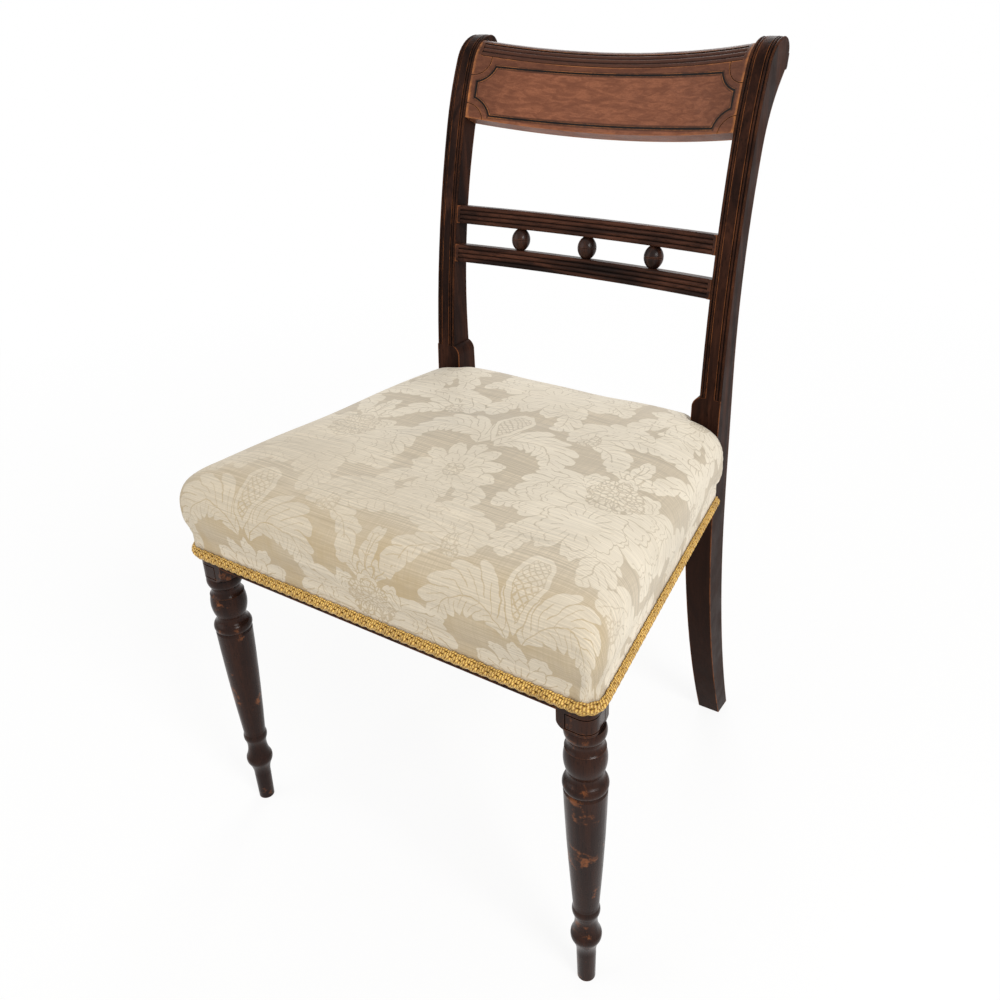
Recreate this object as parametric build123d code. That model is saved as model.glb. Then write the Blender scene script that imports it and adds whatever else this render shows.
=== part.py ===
"""Wooden side chair: sabre rear legs, turned front legs, reeded bowed back and a stuff-over seat.

Millimetres. +Z is up, the chair faces -Y and +X is on the right of someone looking at its front. The
origin lies on the floor under the middle of the chair. Paired pieces are drawn on the +X side and
mirrored.
"""
from build123d import *
from math import asin, atan2, cos, degrees, hypot, radians, sin, sqrt
import os

# Overall sizes
OVERALL_HEIGHT = 840.0
SEAT_DEPTH = 356.0          # front leg axis to the front of the rear posts, at the seat
FRONT_LEG_SPACING = 458.0   # between the front leg axes
BACK_WIDTH = 383.0          # over the outsides of the rear posts

# Seat frame
RAIL_BOTTOM = 350.0
RAIL_HEIGHT = 46.0
RAIL_THICKNESS = 24.0
BACK_RAIL_INSET = 6.0       # back rail's rear face in from the backs of the posts
TENON_THICKNESS = 9.0
TENON_SHOULDER = 8.0        # tenon in from the rail's top and bottom
TENON_LENGTH = 15.0
BACK_TENON_LENGTH = 11.0    # short of the side rail's tenon in the same post
JOINT_GAP = 0.1             # glue line round a tenon or a pin
MORTISE_SPARE = 1.0         # mortise deeper than its tenon

# Rear posts
POST_WIDTH = 33.0           # at the seat
POST_DEPTH = 36.5           # at the seat
POST_PLUMB = 30.0           # height above the rails' underside where the post stands upright
FOOT_SWEEP = 72.0           # how far the foot stands behind the post at the seat
FOOT_DEPTH = 27.0
FOOT_TAPER = 2.5            # taken off each side of the post at the floor
STILE_WIDTH = 25.0
STILE_DEPTH = 24.0
STILE_TAPER_START = 150.0   # height above the rails' underside where the back of the post leans
BACK_RADIUS = 1330.0        # sweep of the stile's front, seat to crest
CREST_DROP = 95.0           # start of the tighter crest curve below the top
SCROLL_RADIUS = 42.4        # the stile's front where it rolls back into the scroll
SCROLL_LEAN = 27.0          # lean from upright, in degrees, where the scroll starts
SCROLL_DEPTH = 38.0         # through the stile where the scroll starts
SCROLL_NOSE = 14.0
SCROLL_TURN = 195.0         # heading of the scroll's tail from upright, in degrees
SCROLL_TAIL = 12.0
SCROLL_TIP = 4.5
SCROLL_TIP_TURN = 290.0
REED_STOP = 134.0           # height above the rails' underside where the stile's reeds stop
SHOULDER_HEIGHT = 13.0      # hollow shoulder below the reeds
SHOULDER_HOLLOW = 2.5
STILE_REED = 3.6
REED_DEPTH = 1.5
REED_SINK = 0.15            # tops of the reeds below the flat between them

# Crest rail
CREST_HEIGHT = 84.5         # lower edge below the top of the stiles
CREST_THICKNESS = 20.0
CREST_SETBACK = 1.5         # crest's face behind the stiles' faces
CREST_UNDERCUT = 4.0        # lower edge of the back below that of the face
CREST_BOW = 28.0
CREST_BOW_LEAN = 30.0       # the bow runs back and down at this slope, in degrees
CREST_REED_COUNT = 3
CREST_REED_LOW = 35.0       # lean of the roll under the lowest reed, in degrees
CREST_REED_TOP = 60.0       # lean of the roll over the top reed, in degrees
CREST_ROLL_TOP = 62.0       # lean of the roll where its rounded top starts, in degrees
CREST_REED_STOP = 3.5       # plain end of the roll beside each stile
STRING_WIDTH = 2.2
STRING_DEPTH = 1.2
STRING_INSET = 7.0
STRING_CORNER = 27.0
CORNER_LINE_RADIUS = 20.0
CORNER_LINE_WIDTH = 0.9
CORNER_LINE_DEPTH = 0.6

# Cross rails and balls
LATTICE_DROP = 216.0        # middle of the pair below the top of the stiles
CROSS_RAIL_HEIGHT = 21.0
CROSS_RAIL_THICKNESS = 17.0
CROSS_RAIL_GAP = 25.0
CROSS_RAIL_BOW = 20.0
CROSS_REED_COUNT = 4
CROSS_RAIL_SETBACK = 1.0
CROSS_REED_STOP = 4.0
CROSS_TENON_LENGTH = 12.0
CROSS_TENON_HEIGHT = 13.0
BALL_DIAMETER = 22.0
BALL_SPACING = 87.0
BALL_LINE = 0.8             # width of the line cut round each ball
BALL_SEAT_DIAMETER = 9.0
PIN_DIAMETER = 6.0
PIN_LENGTH = 8.0

# Front legs: heights are from the floor and drops are below the rails' underside. A bulge is how far an
# arc of the turned outline stands out from its chord, and a hollow is how far it falls in.
LEG_BLOCK = 37.0
LEG_BLOCK_DROP = 21.0
LEG_BLOCK_ROUNDING = 10.0
LEG_BLOCK_BULGE = 2.2
LEG_CUP_RADIUS = 18.3
LEG_CUP_BULGE = 2.2
LEG_NECK_RADIUS = 16.3
LEG_NECK_DROP = 37.0
LEG_NECK_HOLLOW = 1.2
LEG_LIP_RADIUS = 18.9
LEG_LIP_DROP = 45.0
LEG_LIP_STEP = 0.7           # cut in under the lip
LEG_VASE_BULGE = 2.7
LEG_WAIST_RADIUS = 16.4
LEG_WAIST_DROP = 74.0
LEG_WAIST_HOLLOW = 0.8
LEG_COLLAR_RADIUS = 21.4
LEG_COLLAR_DROP = 88.0
LEG_COLLAR_HALF = 5.5
LEG_FILLET = 2.0
SHAFT_TOP_RADIUS = 20.5
SHAFT_TOP_DROP = 96.0
SHAFT_END_RADIUS = 12.9
SHAFT_END_HEIGHT = 106.0
SHAFT_BULGE = 0.8
ANKLE_RING_RADIUS = 13.9
ANKLE_RING_HEIGHT = 97.0
ANKLE_RING_HALF = 5.0
ANKLE_RADIUS = 11.3
ANKLE_HEIGHT = 81.0
ANKLE_HOLLOW = 0.6
KNOP_RADIUS = 15.2
KNOP_HEIGHT = 65.0
KNOP_HOLLOW = 0.9
KNOP_LOW_HEIGHT = 56.0
KNOP_BULGE = 0.8
FOOT_NECK_RADIUS = 9.8
FOOT_NECK_HEIGHT = 35.0
FOOT_NECK_HOLLOW = 1.4
FOOT_RADIUS = 9.1
BLOCK_LINE_WIDTH = 1.2
BLOCK_LINE_DEPTH = 0.9
BLOCK_LINE_LOW = 3.5        # lower line of the block's panel above the block's foot
BLOCK_LINE_RISE = 16.0      # between its lower and upper lines
BLOCK_LINE_INSET = 9.0      # upright line in from the block's inner edge

# Corner blocks and their screws
CORNER_BLOCK_LEG = 62.0
CORNER_BLOCK_HEIGHT = 36.0
SCREW_DIAMETER = 4.0
SCREW_HEAD = 8.0
SCREW_HEAD_HEIGHT = 2.5
SCREW_GRIP = 11.0           # length of the screw in the rail
SCREW_SEAT = 10.0           # wood left under the screw's head
SCREW_OFFSET = 24.0         # screw along the rail from the inside corner

# Upholstery
WEB_WIDTH = 50.0
WEB_THICKNESS = 1.2
WEB_CLEARANCE = 0.1         # between straps where they cross
WEB_COUNT_DEEP = 4
WEB_COUNT_ACROSS = 3
WEB_PITCH_DEEP = 72.0
WEB_PITCH_ACROSS = 96.0
WEB_END_INSET = 6.0
WEB_TACK_COUNT = 3
HESSIAN_THICKNESS = 1.0
HESSIAN_INSET = 4.0
SOFT_GAP = 0.3
LINING_THICKNESS = 0.8
COVER_THICKNESS = 1.6
COVER_START = 9.0           # cover's lower edge above the rails' underside
LINING_START = 20.0
EDGE_ROLL = 9.0             # how far the pad swells past the rails
EDGE_ROLL_BACK = 2.0        # the same at the back, between the posts
EDGE_ROLL_HEIGHT = 66.0     # widest level above the rails' underside
CROWN_HEIGHT = 122.0        # top of the seat above the rails' underside
CROWN_INSET = 140.0         # from the widest line in to the flat of the crown
CROWN_POWER = 3.4           # how square the shoulder of the crown is
ROLL_STEPS = 3              # slices from the rails' line out to the widest level
CROWN_STEPS = 8             # slices from there in to the flat of the crown
COVER_CORNER = 16.0
ROLL_CORNER = 26.0
CROWN_CORNER = 34.0
POST_NOTCH_GAP = 0.8
GIMP_HEIGHT = 13.0
GIMP_THICKNESS = 2.4
GIMP_GAP = 0.7              # room for the tack heads between cover and braid
TACK_HEAD_DIAMETER = 6.0
TACK_SHANK_DIAMETER = 1.6
TACK_LENGTH = 10.0
TACK_PITCH = 44.0
TACK_END = 30.0             # first tack from the end of its rail

# Sizes worked out from the ones above
RAIL_TOP = RAIL_BOTTOM + RAIL_HEIGHT
PLUMB = RAIL_BOTTOM + POST_PLUMB
LEG_X = FRONT_LEG_SPACING / 2
POST_OUT = BACK_WIDTH / 2
POST_IN = POST_OUT - POST_WIDTH
STILE_IN = POST_OUT - STILE_WIDTH
STILE_MIDDLE = POST_OUT - STILE_WIDTH / 2
LINED = SOFT_GAP + LINING_THICKNESS
COVERED = LINED + SOFT_GAP + COVER_THICKNESS
SCROLL_ANGLE = radians(SCROLL_LEAN)
CREST_START = OVERALL_HEIGHT - CREST_DROP
CREST_START_ANGLE = asin((CREST_START - PLUMB) / BACK_RADIUS)
SCROLL_START = OVERALL_HEIGHT - SCROLL_RADIUS * (1 - sin(SCROLL_ANGLE))
CREST_RADIUS = (SCROLL_START - CREST_START) / (sin(SCROLL_ANGLE) - sin(CREST_START_ANGLE))
# Reaches are level distances from the front of the rear posts at the seat
SCROLL_REACH = (
    BACK_RADIUS * (1 - cos(CREST_START_ANGLE))
    + CREST_RADIUS * (cos(CREST_START_ANGLE) - cos(SCROLL_ANGLE))
    + SCROLL_RADIUS * cos(SCROLL_ANGLE)
)
CREST_REACH = (
    SCROLL_REACH
    - (SCROLL_RADIUS - CREST_SETBACK - CREST_THICKNESS / 2) * cos(radians(CREST_ROLL_TOP))
    + CREST_THICKNESS / 2
    + CREST_BOW * cos(radians(CREST_BOW_LEAN))
)
BACK_REACH = max(SCROLL_REACH + SCROLL_NOSE, CREST_REACH, FOOT_SWEEP + FOOT_DEPTH)
FRONT_REACH = SEAT_DEPTH + LEG_BLOCK / 2 + COVERED + EDGE_ROLL
POST_FRONT = (FRONT_REACH - BACK_REACH) / 2
POST_BACK = POST_FRONT + POST_DEPTH
LEG_Y = POST_FRONT - SEAT_DEPTH
RAIL_FRONT = LEG_Y - LEG_BLOCK / 2
RAIL_BACK = POST_BACK - BACK_RAIL_INSET
CORNER_X = LEG_X + LEG_BLOCK / 2
SIDE_SLOPE = (CORNER_X - POST_OUT) / (POST_FRONT - RAIL_FRONT)
SIDE_COS = cos(atan2(SIDE_SLOPE, 1))
SIDE_WIDTH = RAIL_THICKNESS / SIDE_COS
COVER_BOTTOM = RAIL_BOTTOM + COVER_START
ROLL_START = RAIL_TOP - EDGE_ROLL
WEB_LEVEL = RAIL_TOP + WEB_THICKNESS + WEB_CLEARANCE
HESSIAN_BOTTOM = WEB_LEVEL + WEB_THICKNESS + WEB_CLEARANCE
HESSIAN_TOP = HESSIAN_BOTTOM + HESSIAN_THICKNESS


def box(x0, x1, y0, y1, z0, z1):
    """A box between two corners."""
    return Pos((x0 + x1) / 2, (y0 + y1) / 2, (z0 + z1) / 2) * Box(x1 - x0, y1 - y0, z1 - z0)


def prism(points, z0, z1):
    """An upright prism on a plan outline."""
    return Pos(0, 0, z0) * extrude(make_face(Polyline(*points, close=True)), z1 - z0)


def side_x(y):
    """The outer face of a side rail: half the frame's width at a depth."""
    return CORNER_X - SIDE_SLOPE * (y - RAIL_FRONT)


def mirrored(shape):
    """The same piece on the -X side."""
    return mirror(shape, about=Plane.YZ)


def both_sides(shape):
    """A piece with its mirror image, as one shape."""
    return shape + mirrored(shape)


def yz(point):
    """A (y, z) point on the chair's middle plane."""
    return (0, point[0], point[1])


def bend(start, radius, lean, new_lean):
    """End of an arc in the YZ plane that leans over backwards from one heading to another."""
    return (
        start[0] + radius * (cos(lean) - cos(new_lean)),
        start[1] + radius * (sin(new_lean) - sin(lean)),
    )


def bend_edge(start, radius, lean, new_lean):
    """That arc as an edge."""
    middle = bend(start, radius, lean, (lean + new_lean) / 2)
    end = bend(start, radius, lean, new_lean)
    return ThreePointArc(yz(start), yz(middle), yz(end))


def bulged_edge(start, end, bulge):
    """Arc in the XZ plane from one (x, z) point to another; seen along its way it bulges to the left."""
    run = end[0] - start[0]
    rise = end[1] - start[1]
    length = hypot(run, rise)
    middle_x = (start[0] + end[0]) / 2 - rise / length * bulge
    middle_z = (start[1] + end[1]) / 2 + run / length * bulge
    return ThreePointArc((start[0], 0, start[1]), (middle_x, 0, middle_z), (end[0], 0, end[1]))


def behind(point, lean, distance):
    """A point square behind a surface that leans back by an angle."""
    return (point[0] + distance * cos(lean), point[1] - distance * sin(lean))


def stile_lean(z):
    """How far the stile's front leans at a height between the seat and the crest."""
    return asin((z - PLUMB) / BACK_RADIUS)


def stile_front(z):
    """Where the stile's front lies at such a height."""
    return (POST_FRONT + BACK_RADIUS * (1 - cos(stile_lean(z))), z)


CREST_POINT = stile_front(CREST_START)
SCROLL_POINT = bend(CREST_POINT, CREST_RADIUS, CREST_START_ANGLE, SCROLL_ANGLE)
TOP_POINT = bend(SCROLL_POINT, SCROLL_RADIUS, SCROLL_ANGLE, radians(90))
TAIL_POINT = bend(TOP_POINT, SCROLL_NOSE, radians(90), radians(SCROLL_TURN))


def stile_curve(start_z):
    """Edges of the stile's front from a height up and over the scroll's nose."""
    start = stile_front(start_z)
    return [
        bend_edge(start, BACK_RADIUS, stile_lean(start_z), CREST_START_ANGLE),
        bend_edge(CREST_POINT, CREST_RADIUS, CREST_START_ANGLE, SCROLL_ANGLE),
        bend_edge(SCROLL_POINT, SCROLL_RADIUS, SCROLL_ANGLE, radians(90)),
        bend_edge(TOP_POINT, SCROLL_NOSE, radians(90), radians(SCROLL_TURN)),
    ]


def post_side():
    """The post seen from the side, as a face on the chair's middle plane."""
    turn = radians(SCROLL_TURN)
    tip_start = (TAIL_POINT[0] + SCROLL_TAIL * sin(turn), TAIL_POINT[1] + SCROLL_TAIL * cos(turn))
    tip_end = bend(tip_start, SCROLL_TIP, turn, radians(SCROLL_TIP_TURN))
    scroll_back = behind(SCROLL_POINT, SCROLL_ANGLE, SCROLL_DEPTH)
    crest_back = behind(CREST_POINT, CREST_START_ANGLE, STILE_DEPTH)
    lean_start = (POST_BACK, RAIL_BOTTOM + STILE_TAPER_START)
    back_lean = 2 * atan2(crest_back[0] - lean_start[0], crest_back[1] - lean_start[1])
    foot_front = (POST_FRONT + FOOT_SWEEP, 0)
    foot_back = (foot_front[0] + FOOT_DEPTH, 0)
    upright = (0, 0, -1)
    edges = [
        TangentArc(yz((POST_FRONT, PLUMB)), yz(foot_front), tangent=upright),
        *stile_curve(PLUMB),
        Line(yz(TAIL_POINT), yz(tip_start)),
        bend_edge(tip_start, SCROLL_TIP, turn, radians(SCROLL_TIP_TURN)),
        Line(yz(tip_end), yz(scroll_back)),
        TangentArc(yz(crest_back), yz(scroll_back), tangent=(0, sin(back_lean), cos(back_lean))),
        TangentArc(yz(lean_start), yz(crest_back), tangent=(0, 0, 1)),
        Line(yz(lean_start), yz((POST_BACK, PLUMB))),
        TangentArc(yz((POST_BACK, PLUMB)), yz(foot_back), tangent=upright),
        Line(yz(foot_back), yz(foot_front)),
    ]
    return Face(Wire(edges))


def post_front():
    """The post seen from the front: its foot tapers and its reeded stile is narrower than its block."""
    stop = RAIL_BOTTOM + REED_STOP
    shoulder = stop - SHOULDER_HEIGHT
    above = OVERALL_HEIGHT + LEG_BLOCK
    edges = [
        Line((POST_OUT, 0, above), (POST_OUT, 0, RAIL_BOTTOM)),
        Line((POST_OUT, 0, RAIL_BOTTOM), (POST_OUT - FOOT_TAPER, 0, 0)),
        Line((POST_OUT - FOOT_TAPER, 0, 0), (POST_IN + FOOT_TAPER, 0, 0)),
        Line((POST_IN + FOOT_TAPER, 0, 0), (POST_IN, 0, RAIL_BOTTOM)),
        Line((POST_IN, 0, RAIL_BOTTOM), (POST_IN, 0, shoulder)),
        bulged_edge((POST_IN, shoulder), (STILE_IN, stop), SHOULDER_HOLLOW),
        Line((STILE_IN, 0, stop), (STILE_IN, 0, above)),
        Line((STILE_IN, 0, above), (POST_OUT, 0, above)),
    ]
    return Face(Wire(edges))


def reed_pair(edge, inward):
    """Cutter face that leaves two reeds beside one edge of the stile's front, inward being +1 or -1."""
    first = edge + inward * STILE_REED
    second = first + inward * STILE_REED
    valley = REED_SINK + REED_DEPTH
    outside = edge - inward * REED_DEPTH
    edges = [
        Line((outside, -REED_DEPTH), (outside, valley)),
        Line((outside, valley), (edge, valley)),
        ThreePointArc((edge, valley), ((edge + first) / 2, REED_SINK), (first, valley)),
        ThreePointArc((first, valley), ((first + second) / 2, REED_SINK), (second, valley)),
        Line((second, valley), (second, -REED_DEPTH)),
        Line((second, -REED_DEPTH), (outside, -REED_DEPTH)),
    ]
    return Face(Wire(edges))


def stile_reeds():
    """Cutters for the reeds along both edges of the stile's front."""
    start_z = RAIL_BOTTOM + REED_STOP
    start = stile_front(start_z)
    lean = stile_lean(start_z)
    plane = Plane(origin=(STILE_MIDDLE, *start), x_dir=(1, 0, 0), z_dir=(0, sin(lean), cos(lean)))
    path = Pos(STILE_MIDDLE, 0, 0) * Wire(stile_curve(start_z))
    half = STILE_WIDTH / 2
    return [sweep(plane * reed_pair(side * half, -side), path=path) for side in (-1, 1)]


def rear_post():
    """Right-hand post, before its mortises."""
    span = 2 * BACK_WIDTH
    side = Pos(-BACK_WIDTH, 0, 0) * extrude(post_side(), span, dir=(1, 0, 0))
    front = Pos(0, -span, 0) * extrude(post_front(), 2 * span, dir=(0, 1, 0))
    post = side & front
    for cutter in stile_reeds():
        post -= cutter
    return post


def leg_profile():
    """Turned outline of the front leg as edges in the XZ plane, from the cup down to the foot."""
    block_foot = RAIL_BOTTOM - LEG_BLOCK_DROP
    neck = RAIL_BOTTOM - LEG_NECK_DROP
    lip = RAIL_BOTTOM - LEG_LIP_DROP
    waist = RAIL_BOTTOM - LEG_WAIST_DROP
    collar = RAIL_BOTTOM - LEG_COLLAR_DROP
    shaft = RAIL_BOTTOM - SHAFT_TOP_DROP
    under_lip = LEG_LIP_RADIUS - LEG_LIP_STEP
    ring_radius = ANKLE_RING_RADIUS - LEG_FILLET / 2
    # Each step goes to a radius and a height, with how far its arc bulges: 0 is a straight line
    steps = [
        (LEG_NECK_RADIUS, neck + LEG_FILLET, LEG_CUP_BULGE),
        (LEG_NECK_RADIUS, neck, 0),
        (LEG_LIP_RADIUS, lip, -LEG_NECK_HOLLOW),
        (under_lip, lip - LEG_LIP_STEP, 0),
        (LEG_WAIST_RADIUS, waist, LEG_VASE_BULGE),
        (LEG_WAIST_RADIUS, waist - LEG_FILLET, 0),
        (LEG_COLLAR_RADIUS - LEG_FILLET, collar + LEG_COLLAR_HALF, -LEG_WAIST_HOLLOW),
        (LEG_COLLAR_RADIUS - LEG_FILLET, collar - LEG_COLLAR_HALF, LEG_FILLET),
        (SHAFT_TOP_RADIUS, shaft, 0),
        (SHAFT_END_RADIUS, SHAFT_END_HEIGHT, SHAFT_BULGE),
        (ring_radius, ANKLE_RING_HEIGHT + ANKLE_RING_HALF, 0),
        (ring_radius, ANKLE_RING_HEIGHT - ANKLE_RING_HALF, LEG_FILLET / 2),
        (ANKLE_RADIUS, ANKLE_HEIGHT, -ANKLE_HOLLOW),
        (KNOP_RADIUS, KNOP_HEIGHT, -KNOP_HOLLOW),
        (KNOP_RADIUS - LEG_FILLET / 2, KNOP_LOW_HEIGHT, KNOP_BULGE),
        (FOOT_NECK_RADIUS, FOOT_NECK_HEIGHT, -FOOT_NECK_HOLLOW),
        (FOOT_RADIUS, 0, 0),
    ]
    at = (LEG_CUP_RADIUS, block_foot)
    edges = []
    for radius, height, bulge in steps:
        to = (radius, height)
        if bulge:
            edges.append(bulged_edge(at, to, bulge))
        else:
            edges.append(Line((at[0], 0, at[1]), (radius, 0, height)))
        at = to
    edges.append(Line((FOOT_RADIUS, 0, 0), (0, 0, 0)))
    edges.append(Line((0, 0, 0), (0, 0, block_foot)))
    edges.append(Line((0, 0, block_foot), (LEG_CUP_RADIUS, 0, block_foot)))
    return edges


def block_rounding():
    """Turned limit of the square block: its lower corners are rounded off by the lathe."""
    block_foot = RAIL_BOTTOM - LEG_BLOCK_DROP
    corner = hypot(LEG_BLOCK / 2, LEG_BLOCK / 2)
    rise = block_foot + LEG_BLOCK_ROUNDING
    outline = [
        bulged_edge((corner, rise), (LEG_CUP_RADIUS, block_foot), LEG_BLOCK_BULGE),
        Line((corner, 0, rise), (corner, 0, RAIL_TOP)),
        Line((corner, 0, RAIL_TOP), (0, 0, RAIL_TOP)),
        Line((0, 0, RAIL_TOP), (0, 0, block_foot)),
        Line((0, 0, block_foot), (LEG_CUP_RADIUS, 0, block_foot)),
    ]
    return revolve(Face(Wire(outline)), axis=Axis.Z)


def block_panel(block):
    """Lines cut round the outer corner of the block, as a shell in the block's own outline."""
    low = RAIL_BOTTOM - LEG_BLOCK_DROP + BLOCK_LINE_LOW
    high = low + BLOCK_LINE_RISE
    half = BLOCK_LINE_WIDTH / 2
    inner_x = LEG_X - LEG_BLOCK / 2 + BLOCK_LINE_INSET
    inner_y = LEG_Y + LEG_BLOCK / 2 - BLOCK_LINE_INSET
    skin_front = RAIL_FRONT + BLOCK_LINE_DEPTH
    corner = COVER_CORNER - COVERED - BLOCK_LINE_DEPTH
    core = extrude(pad_slice(-BLOCK_LINE_DEPTH, 0, corner, 0), RAIL_TOP)
    bands = None
    for level in (low, high):
        heights = (level - half, level + half)
        band = box(inner_x - half, CORNER_X + half, RAIL_FRONT - half, inner_y + half, *heights)
        bands = band if bands is None else bands + band
    bands += box(inner_x - half, inner_x + half, RAIL_FRONT - half, skin_front + half, low, high)
    bands += box(LEG_X, CORNER_X + half, inner_y - half, inner_y + half, low, high)
    return (bands - core) & block


def front_leg():
    """Right-hand front leg, before its mortises: square block over a turned leg."""
    turned = revolve(Face(Wire(leg_profile())), axis=Axis.Z)
    place = Pos(LEG_X, LEG_Y, 0)
    half = LEG_BLOCK / 2
    square = box(LEG_X - half, CORNER_X, LEG_Y - half, LEG_Y + half, RAIL_BOTTOM - LEG_BLOCK_DROP, RAIL_TOP)
    square &= place * block_rounding()
    block = square & extrude(pad_slice(0, 0, COVER_CORNER - COVERED, 0), RAIL_TOP)
    return (block - block_panel(block)) + place * turned


def tenon_heights():
    """Lower and upper faces of the seat rails' tenons."""
    return RAIL_BOTTOM + TENON_SHOULDER, RAIL_TOP - TENON_SHOULDER


def front_tenon(gap, spare):
    """Tenon of the front rail at its right-hand end, or its mortise when gap and spare are given."""
    low, high = tenon_heights()
    shoulder = LEG_X - LEG_BLOCK / 2
    middle = RAIL_FRONT + RAIL_THICKNESS / 2
    half = TENON_THICKNESS / 2 + gap
    return box(shoulder, shoulder + TENON_LENGTH + spare, middle - half, middle + half, low - gap, high + gap)


def back_tenon(gap, spare):
    """The same for the back rail."""
    low, high = tenon_heights()
    middle = RAIL_BACK - RAIL_THICKNESS / 2
    half = TENON_THICKNESS / 2 + gap
    end = POST_IN + BACK_TENON_LENGTH + spare
    return box(POST_IN, end, middle - half, middle + half, low - gap, high + gap)


def side_strip(front, back, inset, width, low, high):
    """Part of a side rail's slanting run, set in from its outer face."""
    points = [
        (side_x(front) - inset, front),
        (side_x(back) - inset, back),
        (side_x(back) - inset - width, back),
        (side_x(front) - inset - width, front),
    ]
    return prism(points, low, high)


def side_tenons(gap, spare):
    """Front and rear tenons of the right-hand side rail."""
    low, high = tenon_heights()
    inset = (RAIL_THICKNESS - TENON_THICKNESS) / 2 / SIDE_COS - gap
    width = TENON_THICKNESS / SIDE_COS + 2 * gap
    start = LEG_Y + LEG_BLOCK / 2
    reach = TENON_LENGTH + spare
    front = side_strip(start - reach, start, inset, width, low - gap, high + gap)
    back = side_strip(POST_FRONT, POST_FRONT + reach, inset, width, low - gap, high + gap)
    return front, back


def front_rail():
    """Front seat rail between the leg blocks."""
    shoulder = LEG_X - LEG_BLOCK / 2
    body = box(-shoulder, shoulder, RAIL_FRONT, RAIL_FRONT + RAIL_THICKNESS, RAIL_BOTTOM, RAIL_TOP)
    return body + both_sides(front_tenon(0, 0))


def back_rail():
    """Back seat rail between the posts."""
    body = box(-POST_IN, POST_IN, RAIL_BACK - RAIL_THICKNESS, RAIL_BACK, RAIL_BOTTOM, RAIL_TOP)
    return body + both_sides(back_tenon(0, 0))


def side_rail():
    """Right-hand seat rail, from the front leg's block to the post."""
    body = side_strip(LEG_Y + LEG_BLOCK / 2, POST_FRONT, 0, SIDE_WIDTH, RAIL_BOTTOM, RAIL_TOP)
    for tenon in side_tenons(0, 0):
        body += tenon
    return body


def roll_point(lean, depth):
    """A point under the crest's rolled top: lean picks the place round the roll."""
    centre = behind(SCROLL_POINT, SCROLL_ANGLE, SCROLL_RADIUS)
    radius = SCROLL_RADIUS - CREST_SETBACK - depth
    return (centre[0] - radius * cos(lean), centre[1] + radius * sin(lean))


def crest_bottom_lean():
    """Lean of the crest's face at its lower edge."""
    rise = OVERALL_HEIGHT - CREST_HEIGHT - CREST_START
    return asin(sin(CREST_START_ANGLE) + rise / CREST_RADIUS)


def crest_point(lean, depth):
    """A point under the crest's tablet face."""
    front = bend(CREST_POINT, CREST_RADIUS, CREST_START_ANGLE, lean)
    return behind(front, lean, CREST_SETBACK + depth)


def tablet_arc(depth, drop=0):
    """Arc of the tablet face from its lower edge, or a drop below that, up to the roll, at a depth."""
    low = crest_bottom_lean() - drop / CREST_RADIUS
    leans = (low, (low + SCROLL_ANGLE) / 2, SCROLL_ANGLE)
    return ThreePointArc(*[yz(crest_point(lean, depth)) for lean in leans])


def roll_arc(start, end, depth):
    """Arc of the rolled top between two leans."""
    leans = (start, (start + end) / 2, end)
    return ThreePointArc(*[yz(roll_point(lean, depth)) for lean in leans])


def crest_section():
    """Cross-section of the crest rail at the stiles: a plate that rolls back at its top."""
    low = crest_bottom_lean()
    top = radians(CREST_ROLL_TOP)
    thick = CREST_THICKNESS
    nose = roll_point(top, thick / 2)
    nose_top = (nose[0] + thick / 2 * sin(top), nose[1] + thick / 2 * cos(top))
    edges = [
        tablet_arc(0),
        roll_arc(SCROLL_ANGLE, top, 0),
        ThreePointArc(yz(roll_point(top, 0)), yz(nose_top), yz(roll_point(top, thick))),
        roll_arc(top, SCROLL_ANGLE, thick),
        tablet_arc(thick, CREST_UNDERCUT),
        Line(yz(crest_point(low - CREST_UNDERCUT / CREST_RADIUS, thick)), yz(crest_point(low, 0))),
    ]
    return Face(Wire(edges))


def crest_reeds():
    """Cutter face that leaves the reeds in the crest's roll."""
    low = radians(CREST_REED_LOW)
    top = radians(CREST_REED_TOP)
    step = (top - low) / CREST_REED_COUNT
    valley = REED_SINK + REED_DEPTH
    edges = [Line(yz(roll_point(low, -REED_DEPTH)), yz(roll_point(low, valley)))]
    for index in range(CREST_REED_COUNT):
        start = low + index * step
        ends = [yz(roll_point(lean, valley)) for lean in (start, start + step)]
        edges.append(ThreePointArc(ends[0], yz(roll_point(start + step / 2, REED_SINK)), ends[1]))
    edges.append(Line(yz(roll_point(top, valley)), yz(roll_point(top, -REED_DEPTH))))
    edges.append(roll_arc(top, low, -REED_DEPTH))
    return Face(Wire(edges))


def bowed(section, bow, lean, pivot, reach):
    """A cross-section at the stiles, carried from side to side on a bow that runs back and down."""
    radius = (STILE_IN**2 + bow**2) / (2 * bow)
    back = Vector(0, cos(lean), -sin(lean))
    centre = Vector(*yz(pivot)) + back * (bow - radius)
    axis = Axis(centre, (0, sin(lean), cos(lean)))
    half_turn = degrees(asin(reach / radius))
    whole = revolve(section.moved(Location(back * bow)), axis=axis, revolution_arc=2 * half_turn)
    return whole.rotate(axis, -half_turn)


def between(shape, inner, outer):
    """The parts of a shape whose distance from the middle plane lies between two values."""
    tall = 2 * OVERALL_HEIGHT
    kept = shape & box(-outer, outer, -tall, tall, -tall, tall)
    if inner:
        kept -= box(-inner, inner, -tall, tall, -tall, tall)
    return kept


def crest_bowed(section, reach):
    """A crest cross-section on the crest's bow, out to a distance from the middle."""
    return bowed(section, CREST_BOW, radians(CREST_BOW_LEAN), crest_point(crest_bottom_lean(), 0), reach)


def crest_between_stiles(section):
    """A crest cross-section on the crest's bow, cut off at the stiles."""
    return between(crest_bowed(section, STILE_IN + TENON_LENGTH), 0, STILE_IN)


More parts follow.
